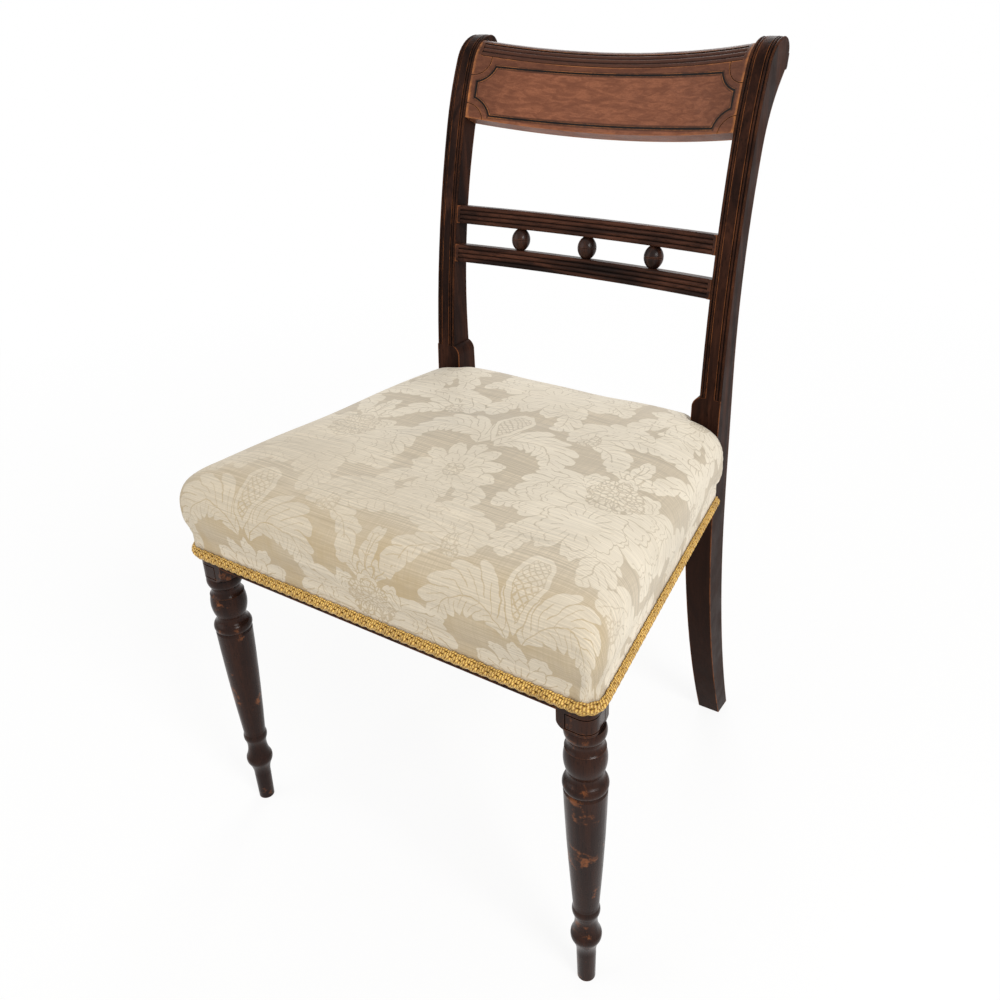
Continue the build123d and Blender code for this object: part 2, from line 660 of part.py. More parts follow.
def raked_bar(point, lean, height, thickness, x0, x1):
    """A bar along X whose cross-section leans back, centred on a (y, z) point."""
    bar = Box(x1 - x0, thickness, height)
    return Pos((x0 + x1) / 2, *point) * Rot(X=-degrees(lean)) * bar


def crest_tenon(gap, spare):
    """Tenon of the crest rail at its right-hand end, or its mortise."""
    lean = (crest_bottom_lean() + SCROLL_ANGLE) / 2
    point = crest_point(lean, CREST_THICKNESS / 2)
    height = (SCROLL_ANGLE - crest_bottom_lean()) * CREST_RADIUS - 2 * TENON_SHOULDER + 2 * gap
    start = STILE_IN - CREST_REED_STOP
    return raked_bar(point, lean, height, TENON_THICKNESS + 2 * gap, start, STILE_IN + TENON_LENGTH + spare)


def tablet_skin(depth):
    """Shell just under the crest's tablet face."""
    low = crest_bottom_lean()
    top = radians(CREST_REED_LOW)
    edges = [
        tablet_arc(0),
        roll_arc(SCROLL_ANGLE, top, 0),
        Line(yz(roll_point(top, 0)), yz(roll_point(top, depth))),
        roll_arc(top, SCROLL_ANGLE, depth),
        tablet_arc(depth),
        Line(yz(crest_point(low, depth)), yz(crest_point(low, 0))),
    ]
    return crest_between_stiles(Face(Wire(edges)))


def tablet_plane():
    """Plane on the middle of the bowed tablet face, its second axis running up the face."""
    lean = crest_bottom_lean() + tablet_half_height() / CREST_RADIUS
    bow_lean = radians(CREST_BOW_LEAN)
    middle = Vector(*yz(crest_point(lean, 0))) + Vector(0, cos(bow_lean), -sin(bow_lean)) * CREST_BOW
    return Plane(origin=middle, x_dir=(1, 0, 0), z_dir=(0, -cos(lean), sin(lean)))


def tablet_half_height():
    """Half the tablet face's height, along the face from its lower edge up to the reeds."""
    on_roll = (radians(CREST_REED_LOW) - SCROLL_ANGLE) * (SCROLL_RADIUS - CREST_SETBACK)
    return ((SCROLL_ANGLE - crest_bottom_lean()) * CREST_RADIUS + on_roll) / 2


def string_outline(inset, corner):
    """Panel outline with hollowed corners: a rectangle less a disc at each of its corners."""
    half_w = STILE_IN
    half_h = tablet_half_height()
    panel = Rectangle(2 * (half_w - inset), 2 * (half_h - inset))
    for x in (-half_w, half_w):
        for y in (-half_h, half_h):
            panel -= Pos(x, y) * Circle(corner)
    return panel


def pressed(sketch, depth):
    """A sketch on the tablet face, pressed into the bowed face to a depth."""
    reach = CREST_BOW + CREST_THICKNESS + tablet_half_height()
    column = extrude(tablet_plane() * sketch, reach, both=True)
    return column & tablet_skin(depth)


def stringing():
    """Inlaid line of the crest's panel."""
    outer = string_outline(STRING_INSET, STRING_CORNER)
    inner = string_outline(STRING_INSET + STRING_WIDTH, STRING_CORNER + STRING_WIDTH)
    return pressed(outer - inner, STRING_DEPTH)


def corner_lines():
    """Quarter-circle lines cut in the corners of the crest's panel."""
    half_h = tablet_half_height()
    half = CORNER_LINE_WIDTH / 2
    ring = Circle(CORNER_LINE_RADIUS + half) - Circle(CORNER_LINE_RADIUS - half)
    rings = None
    for x in (-STILE_IN, STILE_IN):
        for y in (-half_h, half_h):
            one = Pos(x, y) * ring
            rings = one if rings is None else rings + one
    return pressed(rings, CORNER_LINE_DEPTH)


def crest_rail(string):
    """Crest rail with its tenons, its reeds, the channel for its inlaid line and its corner lines."""
    rail = crest_between_stiles(crest_section())
    rail -= crest_bowed(crest_reeds(), STILE_IN - CREST_REED_STOP)
    rail -= string
    rail -= corner_lines()
    return rail + both_sides(crest_tenon(0, 0))


LATTICE_Z = OVERALL_HEIGHT - LATTICE_DROP
LATTICE_LEAN = stile_lean(LATTICE_Z)
LATTICE_POINT = behind(stile_front(LATTICE_Z), LATTICE_LEAN, CROSS_RAIL_SETBACK)
RAIL_RISE = (CROSS_RAIL_GAP + CROSS_RAIL_HEIGHT) / 2


def up_lattice(rise, depth):
    """A (y, z) point in the back's slope: so far up from the middle of the cross rails, and behind."""
    point = behind(LATTICE_POINT, LATTICE_LEAN, depth)
    return (point[0] + rise * sin(LATTICE_LEAN), point[1] + rise * cos(LATTICE_LEAN))


def cross_section(rise, reeded):
    """Cross-section of a cross rail at the stiles."""
    low = rise - CROSS_RAIL_HEIGHT / 2
    high = rise + CROSS_RAIL_HEIGHT / 2
    thick = CROSS_RAIL_THICKNESS
    if not reeded:
        corners = ((low, 0), (high, 0), (high, thick), (low, thick))
        return make_face(Polyline(*[yz(up_lattice(*corner)) for corner in corners], close=True))
    step = CROSS_RAIL_HEIGHT / CROSS_REED_COUNT
    edges = []
    for index in range(CROSS_REED_COUNT):
        start = low + index * step
        ends = [yz(up_lattice(at, REED_DEPTH)) for at in (start, start + step)]
        edges.append(ThreePointArc(ends[0], yz(up_lattice(start + step / 2, 0)), ends[1]))
    edges.append(Line(yz(up_lattice(high, REED_DEPTH)), yz(up_lattice(high, thick))))
    edges.append(Line(yz(up_lattice(high, thick)), yz(up_lattice(low, thick))))
    edges.append(Line(yz(up_lattice(low, thick)), yz(up_lattice(low, REED_DEPTH))))
    return Face(Wire(edges))


def cross_bowed(section):
    """A cross rail's section on the cross rails' bow."""
    reach = STILE_IN + CROSS_TENON_LENGTH
    return bowed(section, CROSS_RAIL_BOW, LATTICE_LEAN, LATTICE_POINT, reach)


def cross_tenon(rise, gap, spare):
    """Tenon of a cross rail at its right-hand end, or its mortise."""
    point = up_lattice(rise, CROSS_RAIL_THICKNESS / 2)
    height = CROSS_TENON_HEIGHT + 2 * gap
    start = STILE_IN - CROSS_REED_STOP
    end = STILE_IN + CROSS_TENON_LENGTH + spare
    return raked_bar(point, LATTICE_LEAN, height, TENON_THICKNESS + 2 * gap, start, end)


def bow_at(x):
    """How far the cross rails stand behind the stiles at a distance from the middle."""
    radius = (STILE_IN**2 + CROSS_RAIL_BOW**2) / (2 * CROSS_RAIL_BOW)
    middle = radius + CROSS_RAIL_THICKNESS / 2
    return sqrt(middle**2 - x**2) - middle + CROSS_RAIL_BOW


def ball_place(x):
    """Location of a ball, its axis in the slope of the back."""
    point = up_lattice(0, CROSS_RAIL_THICKNESS / 2 + bow_at(x))
    return Pos(x, *point) * Rot(X=-degrees(LATTICE_LEAN))


def ball_pins(gap, spare):
    """Pins of a ball, or their holes, about its own centre."""
    length = CROSS_RAIL_GAP + 2 * (PIN_LENGTH + spare)
    return Cylinder(PIN_DIAMETER / 2 + gap, length)


def ball():
    """Turned ball about its own centre, flattened to seats that meet the rails."""
    half = CROSS_RAIL_GAP / 2
    seat = BALL_SEAT_DIAMETER / 2
    outline = [
        ThreePointArc((seat, 0, -half), (BALL_DIAMETER / 2, 0, 0), (seat, 0, half)),
        Line((seat, 0, half), (0, 0, half)),
        Line((0, 0, half), (0, 0, -half)),
        Line((0, 0, -half), (seat, 0, -half)),
    ]
    turned = revolve(Face(Wire(outline)), axis=Axis.Z)
    line = Cylinder(BALL_DIAMETER, BALL_LINE) - Cylinder(BALL_DIAMETER / 2 - BALL_LINE, BALL_LINE)
    return turned - line + ball_pins(0, 0)


def cross_rail(rise):
    """Cross rail at a rise up the back, with its tenons and the holes for the balls' pins."""
    reed_end = STILE_IN - CROSS_REED_STOP
    rail = between(cross_bowed(cross_section(rise, True)), 0, reed_end)
    rail += between(cross_bowed(cross_section(rise, False)), reed_end, STILE_IN)
    rail += both_sides(cross_tenon(rise, 0, 0))
    for x in (-BALL_SPACING, 0, BALL_SPACING):
        rail -= ball_place(x) * ball_pins(JOINT_GAP, MORTISE_SPARE)
    return rail


def inner_x(y):
    """Inner face of a side rail at a depth."""
    return side_x(y) - SIDE_WIDTH


def corner_triangle(corner_y, inward):
    """Plan of a corner block: along a cross rail's inner face and along the side rail."""
    x = inner_x(corner_y)
    far_y = corner_y + inward * CORNER_BLOCK_LEG
    return [(x, corner_y), (inner_x(far_y), far_y), (x - CORNER_BLOCK_LEG, corner_y)]


def screw(length):
    """Countersunk screw pointing up +Z, its head's top at the origin."""
    outline = [
        (0, 0, 0),
        (SCREW_HEAD / 2, 0, 0),
        (SCREW_DIAMETER / 2, 0, SCREW_HEAD_HEIGHT),
        (SCREW_DIAMETER / 2, 0, length),
        (0, 0, length),
    ]
    return revolve(make_face(Polyline(*outline, close=True)), axis=Axis.Z)


def corner_screws(corner_y, inward):
    """The two screws of a right-hand corner block, and the bores over their heads."""
    level = RAIL_TOP - CORNER_BLOCK_HEIGHT / 2
    length = SCREW_SEAT + SCREW_GRIP
    bore = Pos(0, 0, -CORNER_BLOCK_LEG / 2) * Cylinder(SCREW_HEAD / 2 + JOINT_GAP, CORNER_BLOCK_LEG)
    along_y = corner_y + inward * (SCREW_OFFSET + LEG_BLOCK / 2)
    side_head = (inner_x(along_y) - SCREW_SEAT, along_y, level)
    across_x = inner_x(corner_y) - SCREW_OFFSET - LEG_BLOCK / 2
    cross_head = (across_x, corner_y + inward * SCREW_SEAT, level)
    to_side = Plane(origin=side_head, z_dir=(1, 0, 0))
    to_cross = Plane(origin=cross_head, z_dir=(0, -inward, 0))
    return [to_side * screw(length), to_cross * screw(length)], [to_side * bore, to_cross * bore]


def corner_block(corner_y, inward, post_or_leg):
    """Right-hand corner block, cut round the leg or post that stands in the corner."""
    screws, bores = corner_screws(corner_y, inward)
    block = prism(corner_triangle(corner_y, inward), RAIL_TOP - CORNER_BLOCK_HEIGHT, RAIL_TOP)
    block -= post_or_leg
    for cutter in screws + bores:
        block -= cutter
    return block


def weave_profile(crossings, start, end, over_first):
    """Side outline of a strap that goes over and under the straps it crosses, from start to end."""
    half = WEB_THICKNESS / 2
    lift = half + WEB_CLEARANCE / 2
    seated = RAIL_TOP + half
    middle = [(start, seated), (start + RAIL_THICKNESS, seated)]
    sign = 1 if over_first else -1
    for place in crossings:
        level = WEB_LEVEL + sign * lift
        middle.append((place - WEB_WIDTH / 2, level))
        middle.append((place + WEB_WIDTH / 2, level))
        sign = -sign
    middle.append((end - RAIL_THICKNESS, seated))
    middle.append((end, seated))
    upper = [(along, level + half) for along, level in middle]
    lower = [(along, level - half) for along, level in reversed(middle)]
    return upper + lower


def spread(count, pitch):
    """Places of a row of equal pieces about its middle."""
    return [(index - (count - 1) / 2) * pitch for index in range(count)]


def web_middle_y():
    """Middle of the opening between the front and back rails."""
    return (RAIL_FRONT + RAIL_BACK) / 2


def deep_strap(x, over_first):
    """Strap from the front rail to the back rail."""
    ends = (RAIL_FRONT + WEB_END_INSET, RAIL_BACK - WEB_END_INSET)
    crossings = [web_middle_y() + y for y in spread(WEB_COUNT_ACROSS, WEB_PITCH_ACROSS)]
    outline = [(x - WEB_WIDTH / 2, y, z) for y, z in weave_profile(crossings, *ends, over_first)]
    return extrude(make_face(Polyline(*outline, close=True)), WEB_WIDTH, dir=(1, 0, 0))


def across_half_length(y):
    """Half the length of a strap across the seat, short of the rails' outer faces."""
    return side_x(y + WEB_WIDTH / 2) - WEB_END_INSET


def across_strap(y, over_first):
    """Strap from one side rail to the other."""
    half = across_half_length(y)
    outline = [
        (x, y - WEB_WIDTH / 2, z)
        for x, z in weave_profile(spread(WEB_COUNT_DEEP, WEB_PITCH_DEEP), -half, half, over_first)
    ]
    return extrude(make_face(Polyline(*outline, close=True)), WEB_WIDTH, dir=(0, 1, 0))


def tack():
    """Tack pointing down -Z, the underside of its head at the origin."""
    shank = Pos(0, 0, -TACK_LENGTH / 2) * Cylinder(TACK_SHANK_DIAMETER / 2, TACK_LENGTH)
    return Pos(0, 0, GIMP_GAP / 2) * Cylinder(TACK_HEAD_DIAMETER / 2, GIMP_GAP) + shank


def web_tacks():
    """Tacks through both ends of every strap, into the tops of the rails."""
    pitch = WEB_WIDTH / WEB_TACK_COUNT
    end_in = RAIL_THICKNESS / 2
    places = []
    for x in spread(WEB_COUNT_DEEP, WEB_PITCH_DEEP):
        for offset in spread(WEB_TACK_COUNT, pitch):
            places.append((x + offset, RAIL_FRONT + end_in))
            places.append((x + offset, RAIL_BACK - end_in))
    for y in spread(WEB_COUNT_ACROSS, WEB_PITCH_ACROSS):
        for offset in spread(WEB_TACK_COUNT, pitch):
            at_y = web_middle_y() + y + offset
            at_x = side_x(at_y) - SIDE_WIDTH / 2
            places.append((at_x, at_y))
            places.append((-at_x, at_y))
    return [Pos(x, y, RAIL_TOP + WEB_THICKNESS) * tack() for x, y in places]


def offset_plan(side, front, back):
    """Corners of the frame's plan grown by different amounts at its sides, front and back."""
    front_y = RAIL_FRONT - front
    back_y = RAIL_BACK + back
    front_x = side_x(front_y) + side / SIDE_COS
    back_x = side_x(back_y) + side / SIDE_COS
    return [(-front_x, front_y), (front_x, front_y), (back_x, back_y), (-back_x, back_y)]


def pad_slice(grow, grow_back, corner, z):
    """A level slice of the seat: the frame's plan, grown or shrunk, with rounded corners."""
    points = [(x, y, z) for x, y in offset_plan(grow, grow, grow_back)]
    return make_face(FilletPolyline(*points, radius=corner, close=True))


def pad_form(skin, bottom):
    """The seat's outer form, less a skin of some depth, from a level up to its crown."""
    widest = RAIL_BOTTOM + EDGE_ROLL_HEIGHT
    rise = CROWN_HEIGHT - EDGE_ROLL_HEIGHT
    flat = COVERED - skin
    skirt = pad_slice(flat, flat, COVER_CORNER - skin, bottom)
    slices = []
    for step in range(ROLL_STEPS + 1):
        share = step / ROLL_STEPS
        swell = sin(radians(90 * share))
        corner = COVER_CORNER + (ROLL_CORNER - COVER_CORNER) * share - skin
        level = ROLL_START + (widest - ROLL_START) * share
        slices.append(pad_slice(flat + EDGE_ROLL * swell, flat + EDGE_ROLL_BACK * swell, corner, level))
    for step in range(1, CROWN_STEPS + 1):
        share = (step / CROWN_STEPS) ** 2
        level = widest - skin + rise * (1 - (1 - share) ** CROWN_POWER) ** (1 / CROWN_POWER)
        grow = flat - share * CROWN_INSET
        corner = ROLL_CORNER + (CROWN_CORNER - ROLL_CORNER) * share - skin
        slices.append(pad_slice(grow + EDGE_ROLL, grow + EDGE_ROLL_BACK, corner, level))
    return extrude(skirt, ROLL_START - bottom) + loft(slices, ruled=True)


def post_notches():
    """Room for the posts at the rear corners of the soft pieces."""
    far = BACK_WIDTH
    notch = box(POST_IN - POST_NOTCH_GAP, far, POST_FRONT - POST_NOTCH_GAP, far, 0, OVERALL_HEIGHT)
    return both_sides(notch)


def skin_shell(outer, inner, bottom):
    """A skin of the seat between two depths, open underneath."""
    below = bottom - EDGE_ROLL
    return pad_form(outer, bottom) - pad_form(inner, below) - post_notches()


def seat_cover():
    """Damask cover, down to the braid."""
    return skin_shell(0, COVER_THICKNESS, COVER_BOTTOM)


def calico_lining():
    """Plain lining under the cover."""
    outer = COVER_THICKNESS + SOFT_GAP
    return skin_shell(outer, outer + LINING_THICKNESS, RAIL_BOTTOM + LINING_START)


def hair_stuffing():
    """Crowned pad on the hessian."""
    bottom = HESSIAN_TOP + SOFT_GAP
    far = 2 * BACK_WIDTH
    above = box(-far, far, -far, far, bottom, OVERALL_HEIGHT)
    return (pad_form(COVERED, ROLL_START - EDGE_ROLL) & above) - post_notches()


def hessian_base():
    """Sheet over the webbing, cut round the posts."""
    grow = -HESSIAN_INSET
    sheet = prism(offset_plan(grow, grow, grow), HESSIAN_BOTTOM, HESSIAN_TOP)
    return sheet - post_notches()


def gimp_ring(inner, outer):
    """Braid all round the frame, between two distances from the rails' faces."""
    corner = COVER_CORNER
    grown = [pad_slice(grow, grow, corner + grow - COVERED, COVER_BOTTOM) for grow in (inner, outer)]
    return extrude(grown[1] - grown[0], GIMP_HEIGHT)


def gimp_parts():
    """Braid along the front and sides, and braid along the back between the posts."""
    inner = COVERED + GIMP_GAP
    ring = gimp_ring(inner, inner + GIMP_THICKNESS)
    far = 2 * BACK_WIDTH
    stop = POST_FRONT - POST_NOTCH_GAP
    front = ring & box(-far, far, -far, stop, 0, OVERALL_HEIGHT)
    half = POST_IN - POST_NOTCH_GAP
    back = ring & box(-half, half, stop, far, 0, OVERALL_HEIGHT)
    return front, back


def row(start, end):
    """Places of a row of tacks between two ends."""
    length = end - start - 2 * TACK_END
    gaps = max(1, round(length / TACK_PITCH))
    return [start + TACK_END + index * length / gaps for index in range(gaps + 1)]


def cover_tacks():
    """Tacks through the cover into the rails, hidden by the braid."""
    level = COVER_BOTTOM + GIMP_HEIGHT / 2
    tacks = []
    shoulder = LEG_X - LEG_BLOCK / 2
    for x in row(-shoulder, shoulder):
        tacks.append(Plane(origin=(x, RAIL_FRONT - COVERED, level), z_dir=(0, -1, 0)) * tack())
    for x in row(-POST_IN, POST_IN):
        tacks.append(Plane(origin=(x, RAIL_BACK + COVERED, level), z_dir=(0, 1, 0)) * tack())
    for y in row(LEG_Y + LEG_BLOCK / 2, POST_FRONT):
        for side in (-1, 1):
            origin = (side * (side_x(y) + COVERED / SIDE_COS), y, level)
            tacks.append(Plane(origin=origin, z_dir=(side, SIDE_SLOPE, 0)) * tack())
    return tacks


def less(shape, cutters):
    """A shape with a list of cutters taken away in one go."""
    return shape - [cutter.solid() for cutter in cutters]


def build():
    """Every node of the chair by name."""
    tacks = cover_tacks()
    strap_tacks = web_tacks()
    post = rear_post()
    post -= back_tenon(JOINT_GAP, MORTISE_SPARE)
    post -= side_tenons(JOINT_GAP, MORTISE_SPARE)[1]
    post -= crest_tenon(JOINT_GAP, MORTISE_SPARE)
    for rise in (-RAIL_RISE, RAIL_RISE):
        post -= cross_tenon(rise, JOINT_GAP, MORTISE_SPARE)
    leg = front_leg()
    leg -= front_tenon(JOINT_GAP, MORTISE_SPARE)
    leg -= side_tenons(JOINT_GAP, MORTISE_SPARE)[0]
    front_corner = RAIL_FRONT + RAIL_THICKNESS
    back_corner = RAIL_BACK - RAIL_THICKNESS
    front_screws = corner_screws(front_corner, 1)[0]
    back_screws = corner_screws(back_corner, -1)[0]
    right_screws = front_screws + back_screws
    screws = right_screws + [mirrored(one) for one in right_screws]
    string = stringing()
    block_front = corner_block(front_corner, 1, leg)
    block_rear = corner_block(back_corner, -1, post)
    fixings = screws + tacks + strap_tacks
    rail_right = less(side_rail(), fixings)
    braid, braid_back = gimp_parts()
    over = [index % 2 == 0 for index in range(max(WEB_COUNT_DEEP, WEB_COUNT_ACROSS))]
    deep = [deep_strap(x, over[i]) for i, x in enumerate(spread(WEB_COUNT_DEEP, WEB_PITCH_DEEP))]
    rows = [web_middle_y() + y for y in spread(WEB_COUNT_ACROSS, WEB_PITCH_ACROSS)]
    across = [across_strap(y, not over[i]) for i, y in enumerate(rows)]
    one_ball = ball()
    return {
        "rear_post_right": [post],
        "rear_post_left": [mirrored(post)],
        "front_leg_right": [leg],
        "front_leg_left": [mirrored(leg)],
        "seat_rail_front": [less(front_rail(), fixings)],
        "seat_rail_back": [less(back_rail(), fixings)],
        "seat_rail_right": [rail_right],
        "seat_rail_left": [mirrored(rail_right)],
        "crest_rail": [crest_rail(string)],
        "crest_stringing": [string],
        "upper_cross_rail": [cross_rail(RAIL_RISE)],
        "lower_cross_rail": [cross_rail(-RAIL_RISE)],
        "ball_left": [ball_place(-BALL_SPACING) * one_ball],
        "ball_centre": [ball_place(0) * one_ball],
        "ball_right": [ball_place(BALL_SPACING) * one_ball],
        "corner_block_front_right": [block_front],
        "corner_block_front_left": [mirrored(block_front)],
        "corner_block_rear_right": [block_rear],
        "corner_block_rear_left": [mirrored(block_rear)],
        "corner_block_screws": screws,
        "webbing_front_to_back": [less(strap, strap_tacks) for strap in deep],
        "webbing_side_to_side": [less(strap, strap_tacks) for strap in across],
        "webbing_tacks": strap_tacks,
        "hessian_base": [hessian_base()],
        "hair_stuffing": [hair_stuffing()],
        "calico_lining": [calico_lining()],
        "seat_cover": [less(seat_cover(), tacks)],
        "gimp_braid": [braid],
        "gimp_braid_back": [braid_back],
        "cover_tacks": tacks,
    }


def main():
    os.makedirs("parts", exist_ok=True)
    for name, pieces in build().items():
        solids = [solid for piece in pieces for solid in piece.solids()]
        shape = solids[0] if len(solids) == 1 else Compound(children=solids)
        export_step(shape, f"parts/{name}.step")


main()
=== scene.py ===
"""Looks of a wooden side chair with a stuff-over seat.

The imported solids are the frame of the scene, in metres: +Z is up, the chair faces -Y, and +X is on the
right of someone looking at its front. The wooden pieces keep their solids and get their finishes here.
The cover, braid, webbing and hessian are made here as surfaces and stand for the soft solids.
"""
import math
from functools import partialmethod

import bpy
import numpy as np
from bpy.props import FloatProperty, FloatVectorProperty, IntProperty, PointerProperty
from mathutils import Matrix, Vector


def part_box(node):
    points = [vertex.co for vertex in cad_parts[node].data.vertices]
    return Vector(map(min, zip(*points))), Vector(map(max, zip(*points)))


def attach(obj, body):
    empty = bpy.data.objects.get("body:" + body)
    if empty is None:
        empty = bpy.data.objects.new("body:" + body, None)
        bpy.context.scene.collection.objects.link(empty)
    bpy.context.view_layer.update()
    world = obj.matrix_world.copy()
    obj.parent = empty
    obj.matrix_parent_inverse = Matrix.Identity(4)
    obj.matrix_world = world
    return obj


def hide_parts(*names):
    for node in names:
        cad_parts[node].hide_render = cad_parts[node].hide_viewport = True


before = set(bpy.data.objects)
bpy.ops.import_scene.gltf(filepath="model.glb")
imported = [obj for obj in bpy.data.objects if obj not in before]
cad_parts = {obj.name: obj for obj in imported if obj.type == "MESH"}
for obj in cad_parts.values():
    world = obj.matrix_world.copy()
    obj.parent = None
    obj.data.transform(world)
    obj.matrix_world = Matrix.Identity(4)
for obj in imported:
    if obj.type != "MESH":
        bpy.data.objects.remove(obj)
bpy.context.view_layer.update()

bl_info = {
    "name": "Side chair",
    "version": (1, 0, 0),
    "blender": (4, 5, 0),
    "location": "View3D > Sidebar > Side chair",
    "description": "Dresses a reeded side chair: polished wood, damask seat, braid and webbing",
    "category": "Object",
}

# Places taken from the solids
RAIL_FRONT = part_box("seat_rail_front")[0].y
RAIL_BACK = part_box("seat_rail_back")[1].y
RAIL_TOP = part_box("seat_rail_front")[1].z
POST_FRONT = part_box("rear_post_right")[0].y
POST_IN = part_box("rear_post_right")[0].x
POST_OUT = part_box("rear_post_right")[1].x
BRAID_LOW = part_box("gimp_braid")[0].z
BRAID_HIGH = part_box("gimp_braid")[1].z
HESSIAN_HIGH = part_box("hessian_base")[1].z

# The seat frame's plan is a trapezium: half its width at the front, and how fast its sides close in
CORNER_X = 0.2475
SIDE_SLOPE = (CORNER_X - POST_OUT) / (POST_FRONT - RAIL_FRONT)
SIDE_COS = 1 / math.hypot(1, SIDE_SLOPE)
SIDE_ANGLE = math.atan(SIDE_SLOPE)

# The crest's reeds: level of the lowest line at the stiles, its dip in the middle, half the crest's length
ROLL_LEVEL = 0.8205
CREST_DIP = 0.014
CREST_HALF = 0.1665
# The crest's tablet: middle of its face, lean, half its height, and its inlaid line
TABLET_MIDDLE = (0.0, 0.21705, 0.774756)
TABLET_LEAN = math.radians(22.658)
TABLET_HALF = 0.036036
STRING_INSET = 0.007
STRING_CORNER = 0.027

# The seat's crown is this share of the cover's grid, and a corner this share of each side of a ring
CROWN_SHARE = 0.29
ARC_SHARE = 0.055
# Stuffing: how much smaller the cloth starts, the bands over which rails and posts hold it, its frames, and
# the height over which the settled crown takes over from the sides
START_SHRINK = 0.003
HELD_AT_RAILS = 0.006
HELD_AT_POSTS = 0.004
CLOTH_FRAMES = 20
SETTLE_BAND = 0.012
# Beside the posts: width of the cover's dip, and depth over which its ends are drawn in to a core that lies
# above the rails; near the rails the ends stop outside them
DIP_WIDTH = 0.007
TUCK_DEPTH = 0.04
CORE_RISE = 0.006
STOP_RISE = 0.003
STOP_OUT = 0.0015

# Braid: step along it, gap to the posts, sides of a cord, and the lie of its crossing and edge cords
BRAID_STEP = 0.0011
BRAID_END = 0.0012
CORD_SIDES = 6
CORD_LIFT = 0.0002
CORD_DEPTH = 0.0008
EDGE_IN = 0.0006
EDGE_OUT = 0.0012
EDGE_LOOPS = 0.0013
TWIST_PITCH = 0.0026

# Webbing: straps each way, how far they end inside the rails, flat length on a rail, and gaps between straps
DEEP_STRAPS = 4
ACROSS_STRAPS = 3
STRAP_END = 0.006
STRAP_LANDING = 0.024
STRAP_POINTS = 160
CROSSING_GAP = 0.00005
CROSSING_RISE = 0.0001

# Hessian: grid, distance in from the rails' outsides, thickness, sag, depth under its solid's top, post gap
HESSIAN_GRID = (90, 110)
HESSIAN_INSET = 0.0045
HESSIAN_THICKNESS = 0.0006
HESSIAN_SAG = 0.00012
HESSIAN_DROP = 0.00015
HESSIAN_GAP = 0.001

# Camera: sensor and shift. Floor: half its side, lines each way, and where it fades to white
SENSOR_WIDTH = 36.0
CAMERA_SHIFT = (0.006, -0.05)
FLOOR_HALF = 40
FLOOR_LINES = 41
FLOOR_FADE = (0.6, 2.2)

WHITE = (1.0, 1.0, 1.0, 1.0)
VECTOR = "NodeSocketVector"
VALUE = "NodeSocketFloat"
PLACE = ("Place", VECTOR, None)


